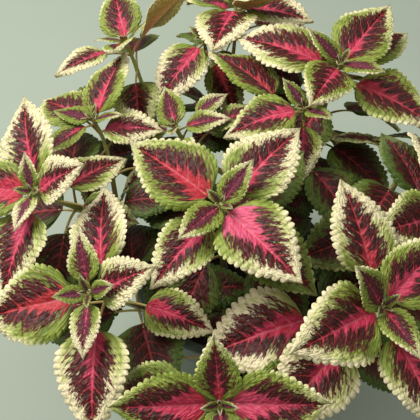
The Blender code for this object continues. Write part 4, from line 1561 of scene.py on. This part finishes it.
# %% Mix the two skins
UPPER_SKIN = blade_material(
    "coleus_upper_skin",
    {
        # depth is the near black of painted shade deep in the crown.
        "depth": paint(26, 30, 10),
        "green": paint(124, 142, 48),
        "deep_green": paint(80, 100, 28),
        "lime": paint(166, 176, 84),
        "pale_green": paint(204, 206, 136),
        "shaded_green": paint(62, 92, 32),
        "cream": paint(238, 223, 186),
        "maroon": paint(68, 16, 16),
        "black_maroon": paint(40, 13, 9),
        "plum": paint(98, 26, 30),
        "violet": paint(108, 42, 66),
        "ember": paint(178, 46, 48),
        "pink": paint(188, 46, 80),
        "glow": paint(214, 90, 124),
        "vein": paint(224, 122, 136),
    },
    0.52,
    0.03,
)
# Painted light: the lower skin's colours are lighter than the underside is, for the light that shines through
# the thin blade.
LOWER_SKIN = blade_material(
    "coleus_lower_skin",
    {
        # depth is the near black of painted shade deep in the crown.
        "depth": paint(40, 40, 14),
        "green": paint(186, 178, 84),
        "deep_green": paint(156, 150, 62),
        "lime": paint(202, 194, 104),
        "pale_green": paint(214, 204, 118),
        "shaded_green": paint(92, 112, 50),
        "cream": paint(232, 216, 136),
        "maroon": paint(188, 156, 78),
        "black_maroon": paint(170, 136, 64),
        "plum": paint(182, 134, 74),
        "violet": paint(172, 126, 88),
        "ember": paint(200, 136, 82),
        "pink": paint(204, 138, 94),
        "glow": paint(214, 150, 108),
        "vein": paint(228, 200, 122),
    },
    0.6,
    0.15,
)
print("mixed", UPPER_SKIN.name, "and", LOWER_SKIN.name)

# %% [markdown]
# Stalk skin. The stem is brownish red at its foot and green near the tips, and the leaf stalks are a golden
# green with a pink flush. The mesh says how far along each point is, so one material paints them all.


# %% Paint the stalks
def stalk_material():
    """Reddish brown at the foot, green above, golden on the leaf stalks, with a red flush in patches."""
    material, bench, shader = new_material("coleus_stalk", 0.5, Sheen_Weight=0.15)
    youth = bench.attribute("stalk_youth", "Fac")
    place = object_place(bench)
    colour = bench.mix(bench.bend(0.1, 0.8, youth), paint(96, 84, 46), paint(142, 148, 62))
    colour = bench.mix(bench.bend(1.0, 1.2, youth), colour, paint(176, 160, 82))
    flush = mottle(bench, place, 60.0, 0.42, 0.66)
    colour = bench.mix(bench.mul(flush, 0.5), colour, paint(132, 56, 58))
    bench.wire(colour, shader["Base Color"])
    fibres = bench.noise(place, 900.0, 2.0)
    add_bump(bench, shader, fibres, 0.3, 0.0003)
    return material


STALK = stalk_material()
print("mixed", STALK.name)

# %% [markdown]
# The leafy stems on the frame. Each stem's blades and stalks stand for one solid node and ride on the part's
# one body. They could be one object, but blades and stalks have different skins and a baker handles them
# better apart, so a stem is two pieces.

# %% Stand the leafy stems on the frame
TRIANGLES = {}


def put(name, mesh, materials, slot, *nodes):
    """A finished piece: its materials, its place on the part's one body, and the nodes it stands for."""
    for material in materials:
        mesh.materials.append(material)
    piece = bpy.data.objects.new(name, mesh)
    bpy.context.scene.collection.objects.link(piece)
    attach(piece, "root")
    if nodes:
        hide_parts(*nodes)
    TRIANGLES[name] = len(mesh.loops) - 2 * len(mesh.polygons)
    print(f"{name}: {TRIANGLES[name]} triangles")


for stem in STEMS:
    leaves = STEM_LEAVES[stem.name]
    node = f"leafy_stem_{stem.name}"
    blades = f"blades_{stem.name}"
    stalks = f"stalks_{stem.name}"
    put(blades, blades_mesh(blades, leaves), (UPPER_SKIN, LOWER_SKIN), "foliage", node)
    put(stalks, stalks_mesh(stalks, stem, leaves), (STALK,), "foliage", node)


# %% [markdown]
# Soil. Potting soil is dark crumbs of peat with a few white grains of perlite. The solid fills the pot, and
# its own material gives the fine grain, but a smooth dome would look like chocolate. So small lumps are
# strewn over it, clear of the stems' feet, all in one mesh.


# %% Paint the soil
def soil_material():
    """Dark peat, drier in patches, with pale fibres and a coarse grain."""
    material, bench, shader = new_material("potting_soil", 0.95)
    place = object_place(bench)
    damp = mottle(bench, place, 45.0, 0.35, 0.65)
    colour = bench.mix(damp, paint(38, 27, 20), paint(70, 52, 38))
    fibre = bench.bend(0.62, 0.72, bench.noise(place, 420.0, 4.0, 0.7))
    bench.wire(bench.mix(fibre, colour, paint(112, 84, 58)), shader["Base Color"])
    add_bump(bench, shader, bench.noise(place, 650.0, 5.0, 0.7), 0.9, 0.0015)
    return material


def two_tone(name, roughness, scale, first, second):
    """A plain material that wanders between two near colours."""
    material, bench, shader = new_material(name, roughness)
    cloud = mottle(bench, object_place(bench), scale, 0.3, 0.7)
    bench.wire(bench.mix(cloud, first, second), shader["Base Color"])
    return material


SOIL_PAINT = soil_material()
PERLITE = two_tone("perlite", 0.85, 300.0, paint(205, 198, 184), paint(236, 232, 222))
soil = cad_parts["soil"]
soil.data.materials.clear()
soil.data.materials.append(SOIL_PAINT)
print("mixed", SOIL_PAINT.name, "and", PERLITE.name)

# %% Strew the crumbs
CRUMBS = 900
CRUMB_SIZES = (0.9, 3.0)
CRUMB_ROUGH = (0.72, 1.25)
CRUMB_FLAT = 0.75
CRUMB_SINK = 0.8
CRUMB_SEED = 7
CLEAR_OF_WALL = 5.5
PERLITE_EVERY = 16


def bed_height(distance):
    """The height at which a crumb is bedded in the domed soil, this far from the pot's axis."""
    across = POT_TOP_RADIUS - POT_WALL
    dome = SOIL_CROWN * max(1.0 - (distance / across) ** 2, 0.0)
    return POT_HEIGHT - SOIL_BELOW_RIM + dome - CRUMB_SINK


def crumbs_mesh():
    """Many small rough lumps in one mesh, some of them perlite."""
    draw = random.Random(CRUMB_SEED)
    bm = bmesh.new()
    feet = [Vector(stem.foot) for stem in STEMS]
    for number in range(CRUMBS):
        distance = (POT_TOP_RADIUS - POT_WALL - CLEAR_OF_WALL) * math.sqrt(draw.random())
        angle = draw.uniform(0.0, math.tau)
        size = draw.uniform(*CRUMB_SIZES)
        spot = Vector((distance * math.cos(angle), distance * math.sin(angle)))
        if min((spot - foot).length for foot in feet) < STEM_RADIUS + size:
            continue
        lump = bmesh.ops.create_icosphere(bm, subdivisions=1, radius=size * MM)
        for vert in lump["verts"]:
            vert.co *= draw.uniform(*CRUMB_ROUGH)
            vert.co.z *= CRUMB_FLAT
            vert.co += Vector((spot.x, spot.y, bed_height(distance) + size * 0.3)) * MM
        for face in {face for vert in lump["verts"] for face in vert.link_faces}:
            face.material_index = 1 if number % PERLITE_EVERY == 0 else 0
    mesh = bpy.data.meshes.new("soil_crumbs")
    bm.to_mesh(mesh)
    bm.free()
    return mesh


put("soil_crumbs", crumbs_mesh(), (SOIL_PAINT, PERLITE), "soil")

# %% [markdown]
# The pot. It is thrown, so its shape is a profile turned round its axis. It could be a cylinder with bevels,
# but a turned profile gives the wall its slope and the rim its roll in one line. The solid has few sides and
# plain bevels. The fine one has rounded edges and many sides.

# %% The profile of the pot
EDGE_ROUND = 2.2


def rounded(corners, radius, steps=5):
    """A profile through these corners with each inner one rounded off."""
    corners = [Vector(corner) for corner in corners]
    profile = [corners[0]]
    for before, corner, after in zip(corners, corners[1:], corners[2:]):
        cut = min(radius, (before - corner).length * 0.45, (after - corner).length * 0.45)
        start = corner + (before - corner).normalized() * cut
        end = corner + (after - corner).normalized() * cut
        for i in range(steps + 1):
            t = i / steps
            profile.append(start * (1 - t) ** 2 + corner * (2 * t * (1 - t)) + end * t**2)
    return [*profile, corners[-1]]


def wall_radius(height):
    """The pot's outer radius at this height, below its rim."""
    return POT_FOOT_RADIUS + (POT_TOP_RADIUS - POT_FOOT_RADIUS) * height / POT_HEIGHT


def pot_profile():
    """The pot's outline from the middle of its inner floor, over the rim, to the middle of its foot."""
    rim = POT_TOP_RADIUS + RIM_PROUD
    under_rim = POT_HEIGHT - RIM_HEIGHT
    inner = POT_TOP_RADIUS - POT_WALL
    corners = [
        (0.0, POT_FLOOR),
        (wall_radius(POT_FLOOR) - POT_WALL, POT_FLOOR),
        (inner, POT_HEIGHT - 2.0),
        (inner + 1.0, POT_HEIGHT),
        (rim, POT_HEIGHT),
        (rim - 0.5, under_rim),
        (wall_radius(under_rim), under_rim - 2.0),
        (POT_FOOT_RADIUS, 0.0),
        (0.0, 0.0),
    ]
    return rounded(corners, EDGE_ROUND)


print("the profile has", len(pot_profile()), "points")

# %% Turn the fine pot
POT_SIDES = 160


def pot_mesh():
    """The profile turned round the pot's axis and closed there."""
    points = [(p.x * MM, 0.0, p.y * MM) for p in pot_profile()]
    mesh = bpy.data.meshes.new("pot_outline")
    mesh.from_pydata(points, [(i, i + 1) for i in range(len(points) - 1)], [])
    guide = bpy.data.objects.new("pot_guide", mesh)
    bpy.context.scene.collection.objects.link(guide)
    screw = guide.modifiers.new("turn", "SCREW")
    screw.steps = POT_SIDES
    screw.render_steps = POT_SIDES
    screw.use_merge_vertices = True
    screw.merge_threshold = 0.00001
    view = bpy.context.evaluated_depsgraph_get()
    turned = bpy.data.meshes.new_from_object(guide.evaluated_get(view))
    turned.name = "pot_shell"
    bpy.data.objects.remove(guide)
    soften(turned, 50)
    return turned


# %% [markdown]
# The glaze. It is a dull slate green that shows the rings of throwing, leaves pale clay on the foot where it
# was wiped, and carries fine iron specks, and the corner under the rim is painted dark as painted shade. One
# even colour would look like plastic. So each of these is a mask over the base colour, and the heights are
# taken from the pot.


# %% Glaze the pot
def glaze_material():
    """A slate green glaze with rings, specks, painted shade in the corner under the rim and a wiped foot."""
    material, bench, shader = new_material("slate_green_glaze", 0.34, Coat_Weight=0.25, Coat_Roughness=0.3)
    place = object_place(bench)
    height = bench.parts(place)[2]
    cloud = mottle(bench, place, 22.0, 0.3, 0.7)
    colour = bench.mix(cloud, paint(62, 76, 66), paint(84, 98, 86))
    rings = bench.noise(bench.vector(0.0, 0.0, bench.mul(height, 1000.0)), 0.28, 3.0, 0.6)
    colour = bench.mix(bench.mul(bench.bend(0.45, 0.7, rings), 0.35), colour, paint(46, 58, 50))
    specks = bench.bend(0.70, 0.75, bench.noise(place, 520.0, 2.0))
    colour = bench.mix(bench.mul(specks, 0.7), colour, paint(40, 32, 26))
    under = (POT_HEIGHT - RIM_HEIGHT) * MM
    # Painted shade: a dark band in the corner under the rim.
    corner = bench.bend(under - 0.010, under - 0.003, height)
    under_rim_shade = bench.mul(corner, bench.bend(under, under - 0.002, height))
    colour = bench.mix(bench.mul(under_rim_shade, 0.6), colour, paint(34, 44, 38))
    uneven = bench.mul(bench.sub(cloud, 0.5), 0.001)
    wiped = bench.bend(0.0045, 0.0030, bench.add(height, uneven))
    colour = bench.mix(wiped, colour, paint(168, 140, 112))
    bench.wire(colour, shader["Base Color"])
    rough = bench.add(bench.mul(cloud, 0.1), 0.3)
    bench.wire(bench.add(bench.mul(wiped, 0.4), rough), shader["Roughness"])
    add_bump(bench, shader, rings, 0.35, 0.0006)
    return material


put("glazed_pot", pot_mesh(), (glaze_material(),), "pot", "pot")

# %% [markdown]
# Floor, light and camera. The plant stands on a plain pale grey-green floor. The light is a big soft window
# from the upper left with a weak fill. A bare lamp would be simpler, but its hard shadows would hide the
# lower leaves, and a soft window still shows the relief of the puffed ones. The camera looks down on the
# crown from close by, as the photograph does.

# %% The floor
FLOOR_PAINT = two_tone("pale_floor", 0.8, 3.0, paint(155, 166, 152), paint(159, 170, 156))
bpy.ops.mesh.primitive_plane_add(size=8.0, location=(0.0, 0.0, 0.0))
floor = bpy.context.object
floor.name = "floor"
floor.data.materials.append(FLOOR_PAINT)
print("the floor is", tuple(floor.dimensions[:2]), "metres")


# %% Soft light
def soft_light(name, spot, target, size, power, colour):
    """A square soft box at spot, turned to face target."""
    data = bpy.data.lights.new(name, "AREA")
    data.size = size
    data.energy = power
    data.color = colour
    lamp = bpy.data.objects.new(name, data)
    lamp.location = spot
    lamp.rotation_euler = (Vector(target) - Vector(spot)).to_track_quat("-Z", "Y").to_euler()
    bpy.context.scene.collection.objects.link(lamp)


soft_light("window", (-0.85, 0.35, 1.45), (0.0, 0.0, 0.25), 0.8, 30.0, (1.0, 0.985, 0.95))
soft_light("ceiling", (0.5, -0.4, 1.9), (0.0, 0.0, 0.2), 1.4, 8.0, (0.95, 0.98, 1.0))
world = bpy.data.worlds.new("room")
world.use_nodes = True
world.node_tree.nodes["Background"].inputs[0].default_value = (1.0, 0.98, 0.88, 1.0)
world.node_tree.nodes["Background"].inputs[1].default_value = 0.36
bpy.context.scene.world = world
print("lights:", ", ".join(light.name for light in bpy.data.lights))

# %% The camera
CAMERA_RISE = math.radians(53.0)
CAMERA_DISTANCE = 0.56
CAMERA_TARGET = Vector((-0.020, -0.055, 0.305))

lens = bpy.data.cameras.new("camera")
lens.lens = 72.0
lens.sensor_width = 36.0
camera = bpy.data.objects.new("camera", lens)
back = Vector((0.0, -math.cos(CAMERA_RISE), math.sin(CAMERA_RISE)))
camera.location = CAMERA_TARGET + back * CAMERA_DISTANCE
camera.rotation_euler = (-back).to_track_quat("-Z", "Y").to_euler()
bpy.context.scene.collection.objects.link(camera)
bpy.context.scene.camera = camera
print("the camera stands at", tuple(round(part, 3) for part in camera.location))

# %% Show colours as they are painted
bpy.context.scene.view_settings.view_transform = "Standard"
print("view:", bpy.context.scene.view_settings.view_transform)

# %% [markdown]
# Count the triangles. The dressed plant has to be as large as its solid frame, or the part would fit nowhere,
# and its scallops may stand out by a millimetre. The cell below prints the triangles in all and in the
# largest piece.

# %% Count the triangles and finish
print(sum(TRIANGLES.values()), "triangles in", len(TRIANGLES), "pieces")
print(max(TRIANGLES.values()), "triangles in the largest piece")
